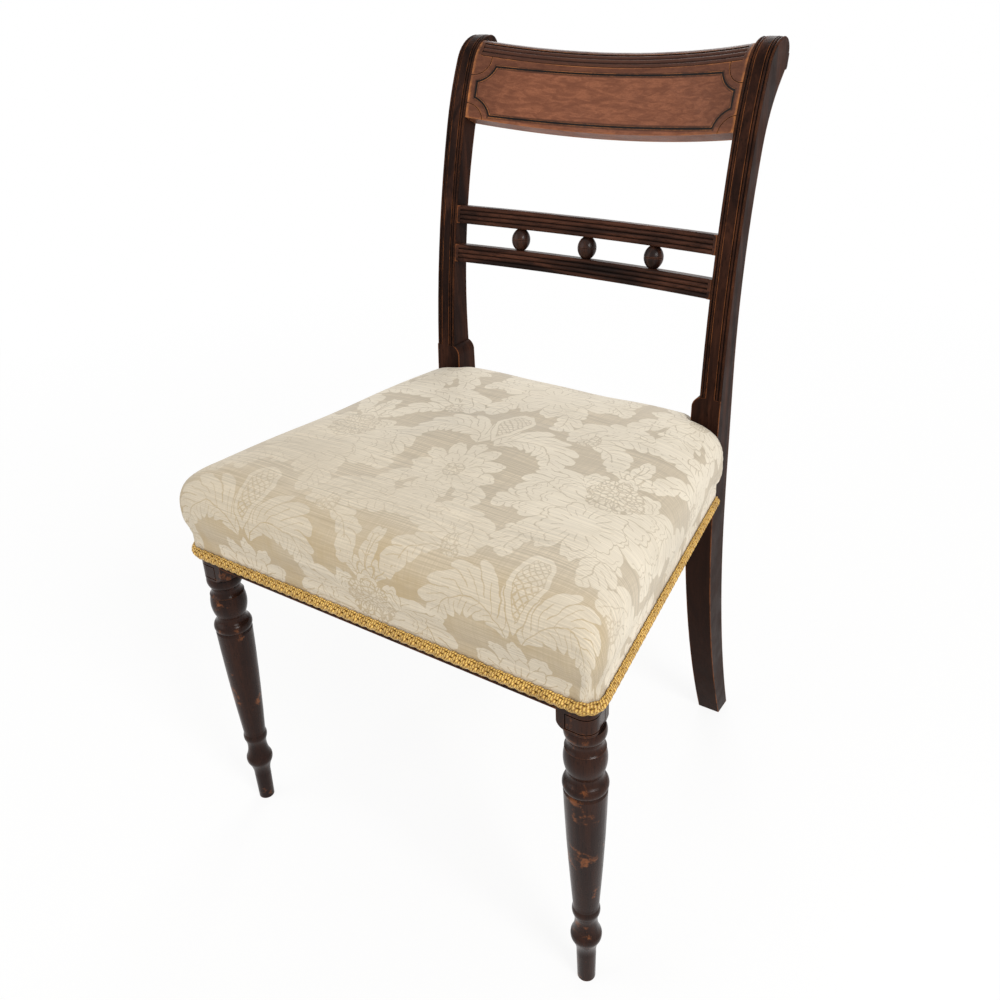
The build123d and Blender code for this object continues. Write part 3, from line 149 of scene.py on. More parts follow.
class Wiring:
    """Adds nodes to a node tree and joins them."""

    def __init__(self, tree):
        self.tree = tree

    def feed(self, socket, value):
        """Joins a socket to another one, or gives it a plain value."""
        if isinstance(value, bpy.types.NodeSocket):
            self.tree.links.new(value, socket)
        else:
            socket.default_value = value

    def feed_all(self, sockets, values):
        """Feeds sockets by name or number."""
        for key, value in values.items():
            self.feed(sockets[key], value)

    def give(self, results, **values):
        """Feeds a group's results, and gives back its tree."""
        self.feed_all(results, values)
        return self.tree

    def node(self, kind, feeds=None, **settings):
        """A new node with its settings, and its inputs fed by name or number."""
        made = self.tree.nodes.new(kind)
        for name, value in settings.items():
            setattr(made, name, value)
        self.feed_all(made.inputs, feeds or {})
        return made

    def math(self, operation, *values, clamp=False):
        """The result of a Math node."""
        feeds = dict(enumerate(values))
        return self.node("ShaderNodeMath", feeds, operation=operation, use_clamp=clamp).outputs[0]

    abs = partialmethod(math, "ABSOLUTE")
    add = partialmethod(math, "ADD")
    atan2 = partialmethod(math, "ARCTAN2")
    cos = partialmethod(math, "COSINE")
    div = partialmethod(math, "DIVIDE")
    max = partialmethod(math, "MAXIMUM")
    min = partialmethod(math, "MINIMUM")
    mul = partialmethod(math, "MULTIPLY")
    mul_add = partialmethod(math, "MULTIPLY_ADD")
    pow = partialmethod(math, "POWER")
    sign = partialmethod(math, "SIGN")
    sin = partialmethod(math, "SINE")
    sqrt = partialmethod(math, "SQRT")
    sub = partialmethod(math, "SUBTRACT")
    wrap = partialmethod(math, "WRAP")

    def less(self, value):
        """A value with its sign turned."""
        return self.mul(value, -1.0)

    def away(self, x, y):
        """The distance sqrt(x * x + y * y)."""
        return self.sqrt(self.mul_add(x, x, self.mul(y, y)))

    def vector(self, operation, *values):
        """The vector that a Vector Math node gives."""
        feeds = dict(enumerate(values))
        return self.node("ShaderNodeVectorMath", feeds, operation=operation).outputs[0]

    def stretch(self, vector, scale):
        """A place with each axis multiplied."""
        return self.vector("MULTIPLY", vector, scale)

    def dot(self, vector, axis):
        """How far a vector goes along an axis."""
        feeds = {0: vector, 1: axis}
        return self.node("ShaderNodeVectorMath", feeds, operation="DOT_PRODUCT").outputs["Value"]

    def across_along(self, vector):
        """The x and y of a place, with no third value to take up the shader's memory."""
        return self.dot(vector, (1, 0, 0)), self.dot(vector, (0, 1, 0))

    def parts(self, vector):
        """The x, y and z of a place."""
        return self.node("ShaderNodeSeparateXYZ", {0: vector}).outputs

    def place(self):
        """Where on the chair a point of the surface is."""
        return self.node("ShaderNodeTexCoord").outputs["Object"]

    def uv(self, name):
        """Where on a UV map a point of the surface is."""
        return self.node("ShaderNodeUVMap", uv_map=name).outputs[0]

    def mix(self, share, first, second):
        """Two colours mixed by a share."""
        made = self.node("ShaderNodeMix", {0: share}, data_type="RGBA")
        for index, value in ((6, first), (7, second)):
            if not isinstance(value, bpy.types.NodeSocket):
                value = (*value[:3], 1.0)
            self.feed(made.inputs[index], value)
        return made.outputs[2]

    def smooth(self, value, low, high, start=0.0, end=1.0):
        """A value carried from one range to another with a soft start and end."""
        feeds = {0: value, 1: low, 2: high, 3: start, 4: end}
        return self.node("ShaderNodeMapRange", feeds, interpolation_type="SMOOTHSTEP").outputs[0]

    def noise(self, vector, scale, detail=3.0, roughness=0.5, distortion=0.0):
        """A noise value at a place."""
        feeds = {"Vector": vector, "Scale": scale, "Detail": detail}
        feeds.update({"Roughness": roughness, "Distortion": distortion})
        return self.node("ShaderNodeTexNoise", feeds).outputs["Fac"]

    def openness(self, reach, inside=False):
        """How open it is round a point of the surface within a reach, or under the surface."""
        feeds = {"Distance": reach}
        made = self.node("ShaderNodeAmbientOcclusion", feeds, samples=8, only_local=True, inside=inside)
        return made.outputs["AO"]

    def bump(self, height, strength, distance):
        """The normal of a bumped surface."""
        feeds = {"Height": height, "Strength": strength, "Distance": distance}
        return self.node("ShaderNodeBump", feeds).outputs[0]

    def use(self, name, make, **feeds):
        """The results of a node group, which is made the first time that it is asked for."""
        tree = bpy.data.node_groups.get(name) or make(name)
        return self.node("ShaderNodeGroup", feeds, node_tree=tree).outputs


def new_group(name, inputs, outputs):
    """A shader node group with named sockets: (wiring, the values given to it, its results' sockets)."""
    tree = bpy.data.node_groups.new(name, "ShaderNodeTree")
    for title, kind, default in inputs:
        made = tree.interface.new_socket(name=title, in_out="INPUT", socket_type=kind)
        if default is not None:
            made.default_value = default
    for title in outputs:
        tree.interface.new_socket(name=title, in_out="OUTPUT", socket_type=VALUE)
    w = Wiring(tree)
    given = w.node("NodeGroupInput").outputs
    return w, [given[title] for title, _, _ in inputs], w.node("NodeGroupOutput").inputs


def cleared(owner):
    """Wiring for the emptied node tree of a material or a world."""
    owner.use_nodes = True
    owner.node_tree.nodes.clear()
    return Wiring(owner.node_tree)


def new_material(name):
    """An empty material with its Principled shader: (material, wiring, the shader's sockets)."""
    material = bpy.data.materials.new(name)
    w = cleared(material)
    shader = w.node("ShaderNodeBsdfPrincipled")
    w.node("ShaderNodeOutputMaterial", {"Surface": shader.outputs[0]})
    return material, w, shader.inputs


def toned(colour, share):
    """A colour made darker or lighter."""
    return tuple(share * c for c in colour)


def make_grain(name):
    """Wood grain: broad bands, fine streaks and pores, on a place that is squeezed along the grain."""
    w, (place,), results = new_group(name, [PLACE], ["Bands", "Streaks", "Pores"])
    return w.give(
        results,
        Bands=w.smooth(w.noise(place, 55.0, 4.0, 0.55, 0.8), 0.32, 0.7),
        Streaks=w.smooth(w.noise(place, 320.0, 4.0, 0.6, 0.3), 0.34, 0.68),
        Pores=w.smooth(w.noise(place, 900.0, 2.0, 0.5), 0.56, 0.7),
    )


def make_wear(name):
    """Wear and painted shade: rubbed edges where the wood is thin under the surface, rubbed patches, and
    hollows that get painted shade.
    """
    inputs = [PLACE, ("Reach", VALUE, 0.005), ("Amount", VALUE, 1.0)]
    w, (place, reach, amount), results = new_group(name, inputs, ["Edge", "Patch", "Hollow"])
    thin = w.smooth(w.openness(reach, inside=True), 0.76, 0.5)
    open_reach = 0.006
    open_share = w.openness(open_reach)
    rubbed = w.smooth(w.noise(place, 42.0, 5.0, 0.7), 0.36, 0.6, 0.15, 1.0)
    edge = w.mul(w.mul(thin, rubbed), w.smooth(open_share, 0.6, 0.9))
    patch = w.smooth(w.noise(place, 34.0, 6.0, 0.72), 0.57, 0.68)
    return w.give(
        results,
        Edge=w.mul(edge, amount, clamp=True),
        Patch=w.mul(patch, w.smooth(open_share, 0.7, 0.95)),
        Hollow=w.smooth(open_share, 0.96, 0.55),
    )


def make_weave(name):
    """Plain weave: two sets of round threads that pass over each other, and slubs along both sets.

    The height is half of 1 + sin(pi * Threads * x) * sin(pi * Threads * y).
    """
    inputs = [PLACE, ("Threads", VALUE, 1500.0)]
    w, (place, threads), results = new_group(name, inputs, ["Height", "Slubs", "Streaks"])
    x, y, _ = w.parts(place)
    turns = w.mul(threads, math.pi)
    crossed = w.mul(w.sin(w.mul(x, turns)), w.sin(w.mul(y, turns)))
    slub = w.noise(w.stretch(place, (9.0, 640.0, 1.0)), 1.0, 4.0, 0.65)
    streak = w.noise(w.stretch(place, (560.0, 12.0, 1.0)), 1.0, 3.0, 0.6)
    return w.give(
        results,
        Height=w.mul_add(crossed, 0.5, 0.5),
        Slubs=w.smooth(slub, 0.3, 0.7),
        Streaks=w.smooth(streak, 0.34, 0.7),
    )


def polished_wood(name, dark, body, worn, along, wear=1.0, reach=0.005, gloss=0.36, shine=0.08, patches=0.0,
                  squeeze=(0.08, 1.0), shaded=None, shade=(0.02, 0.009, 0.006)):
    """Polished wood: grain along an axis, painted shade in the hollows, rubbed light on the edges and in
    patches.

    squeeze is the scale of the place along the grain and across it. Where a shaded function is given, it
    makes a mask from the place, and the mask carries the colour to shade.
    """
    material, w, shader = new_material(name)
    place = w.place()
    stretch = [squeeze[1]] * 3
    stretch["XYZ".index(along)] = squeeze[0]
    grain = w.use("Wood grain", make_grain, Place=w.stretch(place, stretch))
    edges = w.use("Edge wear", make_wear, Place=place, Reach=reach, Amount=wear)
    colour = w.mix(grain["Bands"], dark, body)
    colour = w.mix(w.mul(grain["Streaks"], 0.5), colour, dark)
    colour = w.mix(w.mul(grain["Pores"], 0.55), colour, toned(dark, 0.35))
    if shaded is not None:
        colour = w.mix(shaded(w, place), colour, shade)
    if patches > 0:
        colour = w.mix(w.mul(edges["Patch"], patches), colour, toned(worn, 0.75))
    colour = w.mix(edges["Edge"], colour, worn)
    # Painted shade: the hollows are darkened nearly to black, by how little open room there is round them.
    painted_hollow_shade = (0.003, 0.002, 0.002)
    colour = w.mix(w.mul(edges["Hollow"], 0.88), colour, painted_hollow_shade)
    rough = w.smooth(w.noise(place, 24.0, 4.0, 0.6), 0.3, 0.7, gloss - 0.07, gloss + 0.09)
    rough = w.mul_add(edges["Edge"], 0.18, rough)
    height = w.mul_add(grain["Pores"], -0.7, grain["Streaks"])
    w.feed_all(shader, {
        "Base Color": colour,
        "Roughness": w.mul_add(edges["Hollow"], 0.3, rough),
        "Specular IOR Level": shine,
        "Normal": w.bump(height, 0.16, 0.0003),
    })
    return material


def painted_shade_below_seat(w, place):
    """A mask of what lies below the seat, where the rear legs get painted shade."""
    shade_top, shade_full = 0.44, 0.34
    return w.smooth(w.parts(place)[2], shade_top, shade_full, 0.0, 0.75)


def on_crest(w, place):
    """A mask of the crest's darker parts: its rolled top, a soft edge along the inlaid line, and its ends.

    The roll lies over a line that dips by CREST_DIP between the stiles. The inlaid line is the edge of a
    rectangle less a disc at each corner of the tablet, on a plane that leans with the tablet. Only the face
    that looks forward has the line.
    """
    x, _, z = w.parts(place)
    share = w.div(x, CREST_HALF)
    level = w.mul_add(w.mul(share, share), -CREST_DIP, z)
    roll_low, roll_soft = ROLL_LEVEL - CREST_DIP, 0.003
    roll = w.smooth(level, roll_low - roll_soft, roll_low + roll_soft, 0.0, 0.8)
    up = (0, math.sin(TABLET_LEAN), math.cos(TABLET_LEAN))
    rise = w.dot(w.vector("SUBTRACT", place, TABLET_MIDDLE), up)
    over_x = w.sub(w.abs(x), CREST_HALF)
    over_y = w.sub(w.abs(rise), TABLET_HALF)
    panel = w.add(w.max(over_x, over_y), STRING_INSET)
    panel = w.max(panel, w.sub(STRING_CORNER, w.away(over_x, over_y)))
    half_line, line_full, line_fade = 0.0011, 0.0016, 0.0042
    line = w.smooth(w.abs(w.add(panel, half_line)), line_fade, line_full, 0.0, 0.9)
    above = w.smooth(rise, -0.9 * TABLET_HALF, -0.65 * TABLET_HALF)
    edge = w.mul(w.smooth(panel, -0.004, 0.003, 0.0, 0.5), above)
    end_length = 0.075
    edge = w.max(edge, w.smooth(over_x, -end_length, 0.0, 0.0, 0.35))
    ahead = w.dot(w.node("ShaderNodeTexCoord").outputs["Normal"], (0, -1, 0))
    return w.max(roll, w.mul(w.max(line, edge), w.smooth(ahead, 0.2, 0.4)))


def dress(names, material):
    """Gives CAD nodes a material, in their objects' slots."""
    for name in names:
        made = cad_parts[name]
        if not made.material_slots:
            made.data.materials.append(None)
        for place in made.material_slots:
            place.link = "OBJECT"
            place.material = material


def grid_faces(rows, columns, closed=False):
    """Quads of a grid of points, row by row; where it is closed, the last column is joined to the first."""
    row = np.arange(rows - 1)
    column = np.arange(columns if closed else columns - 1)
    r, c = np.meshgrid(row * columns, column, indexing="ij")
    c2 = (c + 1) % columns
    corners = (r + c, r + c2, r + columns + c2, r + columns + c)
    return np.stack(corners, axis=-1).reshape(-1, 4)


def mesh_object(name, points, faces, material):
    """A smooth mesh object at the origin from arrays of points and quads."""
    mesh = bpy.data.meshes.new(name)
    points = np.ascontiguousarray(points, dtype=np.float32).reshape(-1, 3)
    faces = np.ascontiguousarray(faces, dtype=np.int32)
    mesh.vertices.add(len(points))
    mesh.vertices.foreach_set("co", points.ravel())
    mesh.loops.add(faces.size)
    mesh.loops.foreach_set("vertex_index", faces.ravel())
    mesh.polygons.add(len(faces))
    mesh.polygons.foreach_set("loop_start", np.arange(0, faces.size, faces.shape[1], dtype=np.int32))
    mesh.polygons.foreach_set("use_smooth", np.full(len(faces), True))
    mesh.update(calc_edges=True)
    mesh.validate()
    made = bpy.data.objects.new(name, mesh)
    bpy.context.scene.collection.objects.link(made)
    if material is not None:
        mesh.materials.append(material)
    return made


def set_uv(made, name, points):
    """A UV map from one (u, v) per vertex."""
    mesh = made.data
    layer = mesh.uv_layers.new(name=name)
    loops = np.empty(len(mesh.loops), dtype=np.int32)
    mesh.loops.foreach_get("vertex_index", loops)
    layer.uv.foreach_set("vector", np.ascontiguousarray(points[loops], dtype=np.float32).ravel())


def give_thickness(made, thickness):
    """The thickness of a cloth, inwards from its face."""
    wall = made.modifiers.new("cloth", "SOLIDIFY")
    wall.thickness = thickness
    wall.offset = -1.0


def ring_corner(grow, grow_edge, radius, edge_y, inward):
    """Centre of a corner's rounding, where the side and an edge of the frame's plan are both grown."""
    y = edge_y - inward * (grow_edge - radius)
    x = CORNER_X + (grow - radius) / SIDE_COS - SIDE_SLOPE * (y - RAIL_FRONT)
    return x, y


def plan_ring(u, v, grow, grow_back, radius):
    """The frame's plan grown by a distance, with rounded corners, as points and outward normals.

    (u, v) lies on the edge of the square from -1 to 1. Each of its sides goes to one side of the plan: the
    middle of the side to the straight run between two rounding centres, and its ends to half a corner each.
    """
    turned = np.abs(u)
    on_side = turned >= np.abs(v)
    front = ring_corner(grow, grow, radius, RAIL_FRONT, 1)
    back = ring_corner(grow, grow_back, radius, RAIL_BACK, -1)
    along = np.where(on_side, v / np.maximum(turned, 1e-9), turned / np.maximum(np.abs(v), 1e-9))
    run = np.clip(along / (1 - ARC_SHARE), -1, 1)
    arc = np.clip((np.abs(along) - (1 - ARC_SHARE)) / ARC_SHARE, 0, 1) * np.sign(along)
    share = (run + 1) / 2
    side_x = front[0] + (back[0] - front[0]) * share
    side_y = front[1] + (back[1] - front[1]) * share
    half_front = (math.pi / 2 + SIDE_ANGLE) / 2
    half_back = (math.pi / 2 - SIDE_ANGLE) / 2
    side_angle = SIDE_ANGLE + np.where(arc > 0, arc * half_back, arc * half_front)
    at_back = v > 0
    edge_x = np.where(at_back, back[0], front[0]) * run
    edge_y = np.where(at_back, back[1], front[1])
    edge_angle = np.where(at_back, math.pi / 2 - arc * half_back, -math.pi / 2 + arc * half_front)
    angle = np.where(on_side, side_angle, edge_angle)
    hand = np.where(u < 0, -1.0, 1.0)
    normal = np.stack([np.cos(angle) * hand, np.sin(angle)], axis=-1)
    x = np.where(on_side, side_x, edge_x) * hand
    y = np.where(on_side, side_y, edge_y)
    return np.stack([x, y], axis=-1) + normal * np.asarray(radius)[..., None], normal


def seat_profile(seat):
    """The seat's side outline from the edge of the crown down to the braid, by distance along it.

    Over the crown, height = widest + rise * (1 - (1 - s) ** p) ** (1 / p) for s from 1 to 0; below the widest
    level the outline draws in by a quarter sine to the rails, and then hangs straight. Its third value is the
    share of the swell.
    """
    crown_points, roll_points, skirt_points, crowding = 160, 40, 20, 1.6
    share = np.linspace(1, 0, crown_points) ** crowding
    rise = seat.crown_height - seat.widest_height
    power = seat.shoulder
    crown_z = seat.widest_height + rise * (1 - (1 - share) ** power) ** (1 / power)
    crown = np.stack([seat.roll - share * seat.crown_inset, crown_z, np.ones_like(share)], axis=-1)
    down = np.linspace(1, 0, roll_points)[1:]
    swell = np.sin(down * math.pi / 2)
    roll_z = seat.roll_start + (seat.widest_height - seat.roll_start) * down
    roll = np.stack([seat.roll * swell, roll_z, swell], axis=-1)
    skirt_z = np.linspace(seat.roll_start, seat.cover_low, skirt_points)[1:]
    skirt = np.stack([np.zeros_like(skirt_z), skirt_z, np.zeros_like(skirt_z)], axis=-1)
    outline = np.concatenate([crown, roll, skirt])
    steps = np.hypot(*np.diff(outline[:, :2], axis=0).T)
    return np.concatenate([[0.0], np.cumsum(steps)]), outline


def seat_form(seat, rows, columns, shrink):
    """The cover's form on a grid: its points, and the same points laid flat.

    The grid's square rings go to rings of the seat. The inner rings fill the crown evenly and the outer ones
    follow the side outline down to the braid. Laid flat, a point is its ring on the crown's edge, moved out
    by its distance along the outline.
    """
    u, v = np.meshgrid(np.linspace(-1, 1, columns), np.linspace(-1, 1, rows))
    ring = np.maximum(np.maximum(np.abs(u), np.abs(v)), 1e-6)
    length, outline = seat_profile(seat)
    travel = np.clip((ring - CROWN_SHARE) / (1 - CROWN_SHARE), 0, 1) * length[-1]
    out = np.interp(travel, length, outline[:, 0]) - shrink
    height = np.interp(travel, length, outline[:, 1]) - shrink
    swell = np.interp(travel, length, outline[:, 2])
    inset = seat.roll * swell - out
    radius = np.interp(inset, [0.0, seat.crown_inset], [seat.corner, seat.crown_corner])
    radius = radius - (seat.corner - seat.low_corner) * (1 - swell)
    grow = out + seat.covered
    grow_back = grow - (seat.roll - seat.roll_back) * swell
    plan, normal = plan_ring(u / ring, v / ring, grow, grow_back, radius)
    inner = np.minimum(ring / CROWN_SHARE, 1.0)
    middle = np.array([0.0, (RAIL_FRONT + RAIL_BACK) / 2])
    plan = middle + (plan - middle) * inner[..., None]
    dome = seat.dome * (1 - inner ** 2)
    points = np.concatenate([plan, (height + dome)[..., None]], axis=-1)
    start = outline[0, 0] - shrink
    flat = plan + normal * (travel - (out - start))[..., None]
    return points, flat


def post_notch(points, gap):
    """Which points lie in the room of the rear posts, all points moved out of it, and how far each is off."""
    wall_x = POST_IN - gap
    wall_y = POST_FRONT - gap
    over_x = np.abs(points[..., 0]) - wall_x
    over_y = points[..., 1] - wall_y
    inside = (over_x > 0) & (over_y > 0)
    to_x = inside & (over_x < over_y)
    to_y = inside & ~to_x
    moved = points.copy()
    moved[..., 0] = np.where(to_x, np.sign(points[..., 0]) * wall_x, points[..., 0])
    moved[..., 1] = np.where(to_y, wall_y, points[..., 1])
    away = np.hypot(np.maximum(-over_x, 0), np.maximum(-over_y, 0))
    return inside, moved, away


def tucked_ends(points, before, seat):
    """The cover's ends drawn in flat against the rear posts' fronts, and which points make them.

    A point that lay d past the post's front goes to core + (point - core) * (1 - d / TUCK_DEPTH) in the plane
    of that front, where the core is inside the pad. It stops at the face of the side rail.
    """
    over_x = np.abs(before[..., 0]) - (POST_IN - seat.post_gap)
    over_y = before[..., 1] - (POST_FRONT - seat.post_gap)
    turned = (over_y > 0) & (over_x >= over_y)
    left = 1 - np.clip(over_y / TUCK_DEPTH, 0, 1)
    core_x, core_z = POST_IN, RAIL_TOP + CORE_RISE
    x = core_x + (np.abs(points[..., 0]) - core_x) * left
    z = core_z + (points[..., 2] - core_z) * left
    x = np.where(z < RAIL_TOP + STOP_RISE, np.maximum(x, POST_OUT + STOP_OUT), x)
    moved = points.copy()
    moved[..., 0] = np.where(turned, np.sign(points[..., 0]) * x, points[..., 0])
    moved[..., 2] = np.where(turned, z, points[..., 2])
    return moved, turned


def stuffed(points, faces, held, seat):
    """How far cloth pressed out from inside moves each point, held where held is 1."""
    made = mesh_object("cover_trial", points, faces, None)
    group = made.vertex_groups.new(name="held")
    for weight in np.unique(np.round(held, 1)):
        group.add(np.flatnonzero(np.round(held, 1) == weight).tolist(), float(weight), "REPLACE")
    cloth = made.modifiers.new("cloth", "CLOTH")
    settings = cloth.settings
    settings.quality = 5
    settings.mass = 0.3
    settings.tension_stiffness = 12
    settings.compression_stiffness = 12
    settings.shear_stiffness = 4
    settings.bending_stiffness = 0.4
    settings.use_pressure = True
    settings.uniform_pressure_force = seat.pressure
    settings.vertex_group_mass = "held"
    settings.effector_weights.gravity = 0
    cloth.collision_settings.use_collision = False
    cloth.collision_settings.use_self_collision = False
    cloth.point_cache.frame_start = 1
    cloth.point_cache.frame_end = CLOTH_FRAMES
    scene = bpy.context.scene
    for step in range(1, CLOTH_FRAMES + 1):
        scene.frame_set(step)
    solved = made.evaluated_get(bpy.context.evaluated_depsgraph_get()).data
    after = np.empty(len(points) * 3, dtype=np.float32)
    solved.vertices.foreach_get("co", after)
    scene.frame_set(1)
    bpy.data.objects.remove(made, do_unlink=True)
    move = after.reshape(-1, 3) - points
    far = np.linalg.norm(move, axis=1, keepdims=True)
    return move * np.minimum(1.0, seat.pressure_reach / np.maximum(far, 1e-9))


def spread_grid(values, rows, columns):
    """A grid of values carried to a finer or coarser grid, in straight lines between its points."""
    old_rows, old_columns = values.shape[:2]
    r = np.linspace(0, old_rows - 1, rows)
    c = np.linspace(0, old_columns - 1, columns)
    r0 = np.minimum(r.astype(int), old_rows - 2)
    c0 = np.minimum(c.astype(int), old_columns - 2)
    fr = (r - r0)[:, None, None]
    fc = (c - c0)[None, :, None]
    low = values[r0][:, c0] * (1 - fc) + values[r0][:, c0 + 1] * fc
    high = values[r0 + 1][:, c0] * (1 - fc) + values[r0 + 1][:, c0 + 1] * fc
    return low * (1 - fr) + high * fr


def tube(path, normal, across, radius, sides):
    """A closed-ended round cord along a path: radius * (cos a * normal + sin a * across) about each point."""
    angle = np.linspace(0, 2 * math.pi, sides, endpoint=False)
    ring = normal[:, None] * np.cos(angle)[None, :, None] + across[:, None] * np.sin(angle)[None, :, None]
    points = path[:, None] + ring * radius
    points[0] = path[0]
    points[-1] = path[-1]
    return points.reshape(-1, 3), grid_faces(len(path), sides, closed=True)


def joined(parts):
    """Several (points, faces) pieces as one."""
    points, faces, start = [], [], 0
    for some_points, some_faces in parts:
        points.append(some_points)
        faces.append(some_faces + start)
        start += len(some_points)
    return np.concatenate(points), np.concatenate(faces)


# The damask's pieces are fields in millimetres, positive inside. Each is laid over the field under it, with a
# line of ground this wide round it.
NOTHING = -100.0
OUTLINE = 1.3
LAID = (PLACE, ("Under", VALUE, NOTHING))
# A sine of this times a share from 0 to 1 stays above 0, as a power of it needs
HALF_TURN = 3.1


def laid_over(w, under, new):
    """One field over another, with a thin line of ground round it: max(new, min(under, -new - OUTLINE))."""
    return w.max(new, w.min(under, w.mul_add(new, -1.0, -OUTLINE)))


def between(w, value, length):
    """How far a value lies inside the range from 0 to length."""
    middle = w.mul(length, 0.5)
    return w.sub(middle, w.abs(w.sub(value, middle)))


def make_flower(name):
    """A flower head: its edge is Radius * (1 - Depth + Depth * |cos(petals * angle / 2)| ** 0.6), scalloped.

    The field is how far a place lies inside that edge, less the lines between the petals' outer halves, a rib
    up each petal, and a line that repeats the edge at Echo further in. It is laid over the field Under.
    """
    w, (place, under, middle, radius, petals, depth, echo), results = new_group(
        name,
        [*LAID, ("Middle", VECTOR, None), ("Radius", VALUE, 40.0), ("Petals", VALUE, 9.0),
         ("Depth", VALUE, 0.25), ("Echo", VALUE, 5.0)],
        ["Field"],
    )
    x, y = w.across_along(w.vector("SUBTRACT", place, middle))
    away = w.away(x, y)
    turn = w.mul(w.atan2(x, y), w.mul(petals, 0.5))
    lobe = w.abs(w.cos(turn))
    frill = w.abs(w.cos(w.mul(turn, 3.0)))
    shape = w.mul_add(w.pow(lobe, 0.6), depth, w.sub(1.0, depth))
    shape = w.mul_add(frill, 0.055, shape)
    field = w.mul_add(shape, radius, w.less(away))
    width = w.div(w.mul(away, 2.0), petals)
    gap = w.max(w.mul_add(lobe, width, -0.6), w.mul_add(radius, 0.5, w.less(away)))
    side = w.abs(w.sin(turn))
    rib = w.max(w.mul_add(side, width, -0.45), w.mul_add(radius, 0.42, w.less(away)))
    rib = w.max(rib, w.mul_add(radius, -0.74, away))
    again = w.sub(w.abs(w.sub(field, echo)), 0.4)
    again = w.max(again, w.mul_add(side, 6.0, -4.2))
    lines = w.min(w.min(gap, rib), again)
    return w.give(results, Field=laid_over(w, under, w.min(field, lines)))


def make_leaf(name):
    """A curling leaf with forward lobes, on an arc of radius Curl that starts at its foot.

    s is the distance along the arc, d the distance from it towards its centre and t = s / Length. Half the
    width is Width * sin(pi t) ** 0.7 * (0.55 + 0.45 * sqrt|sin(pi * Lobes * (t - 0.8 |d| / Length))|), a
    quarter less on the inside of the arc and a quarter more outside it. The field is how far a place lies
    inside, less the rib, the veins and the lines in from the notches. It is laid over the field Under.
    """
    w, (place, under, foot, turn, length, width, curl, lobes), results = new_group(
        name,
        [*LAID, ("Foot", VECTOR, None), ("Turn", VECTOR, None), ("Length", VALUE, 100.0),
         ("Width", VALUE, 24.0), ("Curl", VALUE, 300.0), ("Lobes", VALUE, 5.0)],
        ["Field"],
    )
    feeds = {"Vector": place, "Location": foot, "Rotation": turn}
    x, y = w.across_along(w.node("ShaderNodeMapping", feeds, vector_type="TEXTURE").outputs[0])
    to_centre = w.sub(curl, x)
    s = w.mul(w.atan2(y, to_centre), curl)
    d = w.sub(curl, w.away(to_centre, y))
    aside = w.abs(d)
    t = w.div(s, length, clamp=True)
    swell = w.pow(w.sin(w.mul(t, HALF_TURN)), 0.7)
    swell = w.mul(swell, w.mul_add(w.sign(d), -0.25, 1.0))
    lean = w.mul_add(w.div(aside, length), -0.8, t)
    beat = w.mul(lean, w.mul(lobes, math.pi))
    wave = w.abs(w.sin(beat))
    half = w.mul(w.mul_add(w.sqrt(wave), 0.45, 0.55), w.mul(swell, width))
    inside = w.mul(w.sub(half, aside), 0.75)
    rib = w.max(w.sub(aside, 0.6), w.mul_add(t, 40.0, -34.0))
    pitch = w.div(length, w.mul_add(lobes, math.pi, 0.1))
    notch = w.max(w.mul_add(wave, pitch, -0.6), w.mul_add(half, 0.35, w.less(aside)))
    vein = w.max(w.mul_add(w.abs(w.cos(beat)), pitch, -0.4), w.mul_add(half, -0.66, aside))
    lines = w.min(w.min(rib, notch), vein)
    field = w.min(w.min(inside, between(w, s, length)), lines)
    return w.give(results, Field=laid_over(w, under, field))


def make_heart(name):
    """A flower's heart: a small flower filled with cells, laid over the field Under."""
    w, (place, under, middle, radius, petals), results = new_group(
        name,
        [*LAID, ("Middle", VECTOR, None), ("Radius", VALUE, 20.0), ("Petals", VALUE, 8.0)],
        ["Field"],
    )
    heart = w.use("Damask flower", make_flower, Place=place, Middle=middle, Radius=radius, Petals=petals,
                  Depth=0.15, Echo=-NOTHING)["Field"]
    cells = w.node("ShaderNodeTexVoronoi", {"Vector": place, "Scale": 0.17}, feature="DISTANCE_TO_EDGE")
    texture = w.mul_add(cells.outputs["Distance"], 5.5, -0.5)
    return w.give(results, Field=laid_over(w, under, w.min(heart, texture)))


def make_bud(name):
    """An upright bud laid over the field Under: a sepal edge, and crossed lines inside it.

    Half its width is Width * sin(pi t) ** 0.55 * (0.3 + 0.9 t), with t from its foot to its tip.
    """
    w, (place, under, foot, length, width), results = new_group(
        name,
        [*LAID, ("Foot", VECTOR, None), ("Length", VALUE, 80.0), ("Width", VALUE, 23.0)],
        ["Field"],
    )
    sepal_width, line_pitch = 6.0, 7.5
    x, y = w.across_along(w.vector("SUBTRACT", place, foot))
    t = w.div(y, length, clamp=True)
    half = w.mul(w.pow(w.sin(w.mul(t, HALF_TURN)), 0.55), width)
    half = w.mul(half, w.mul_add(t, 0.9, 0.3))
    bud = w.min(w.sub(half, w.abs(x)), between(w, y, length))
    sepal = w.sub(w.abs(w.sub(bud, sepal_width)), 0.5)
    step = math.pi / line_pitch
    near = w.min(*(w.abs(w.sin(w.mul(slant, step))) for slant in (w.add(x, y), w.sub(x, y))))
    fill = w.max(w.mul_add(near, 0.7 / step, -0.65), w.sub(sepal_width, bud))
    field = w.min(w.min(bud, sepal), fill)
    return w.give(results, Field=laid_over(w, under, field))


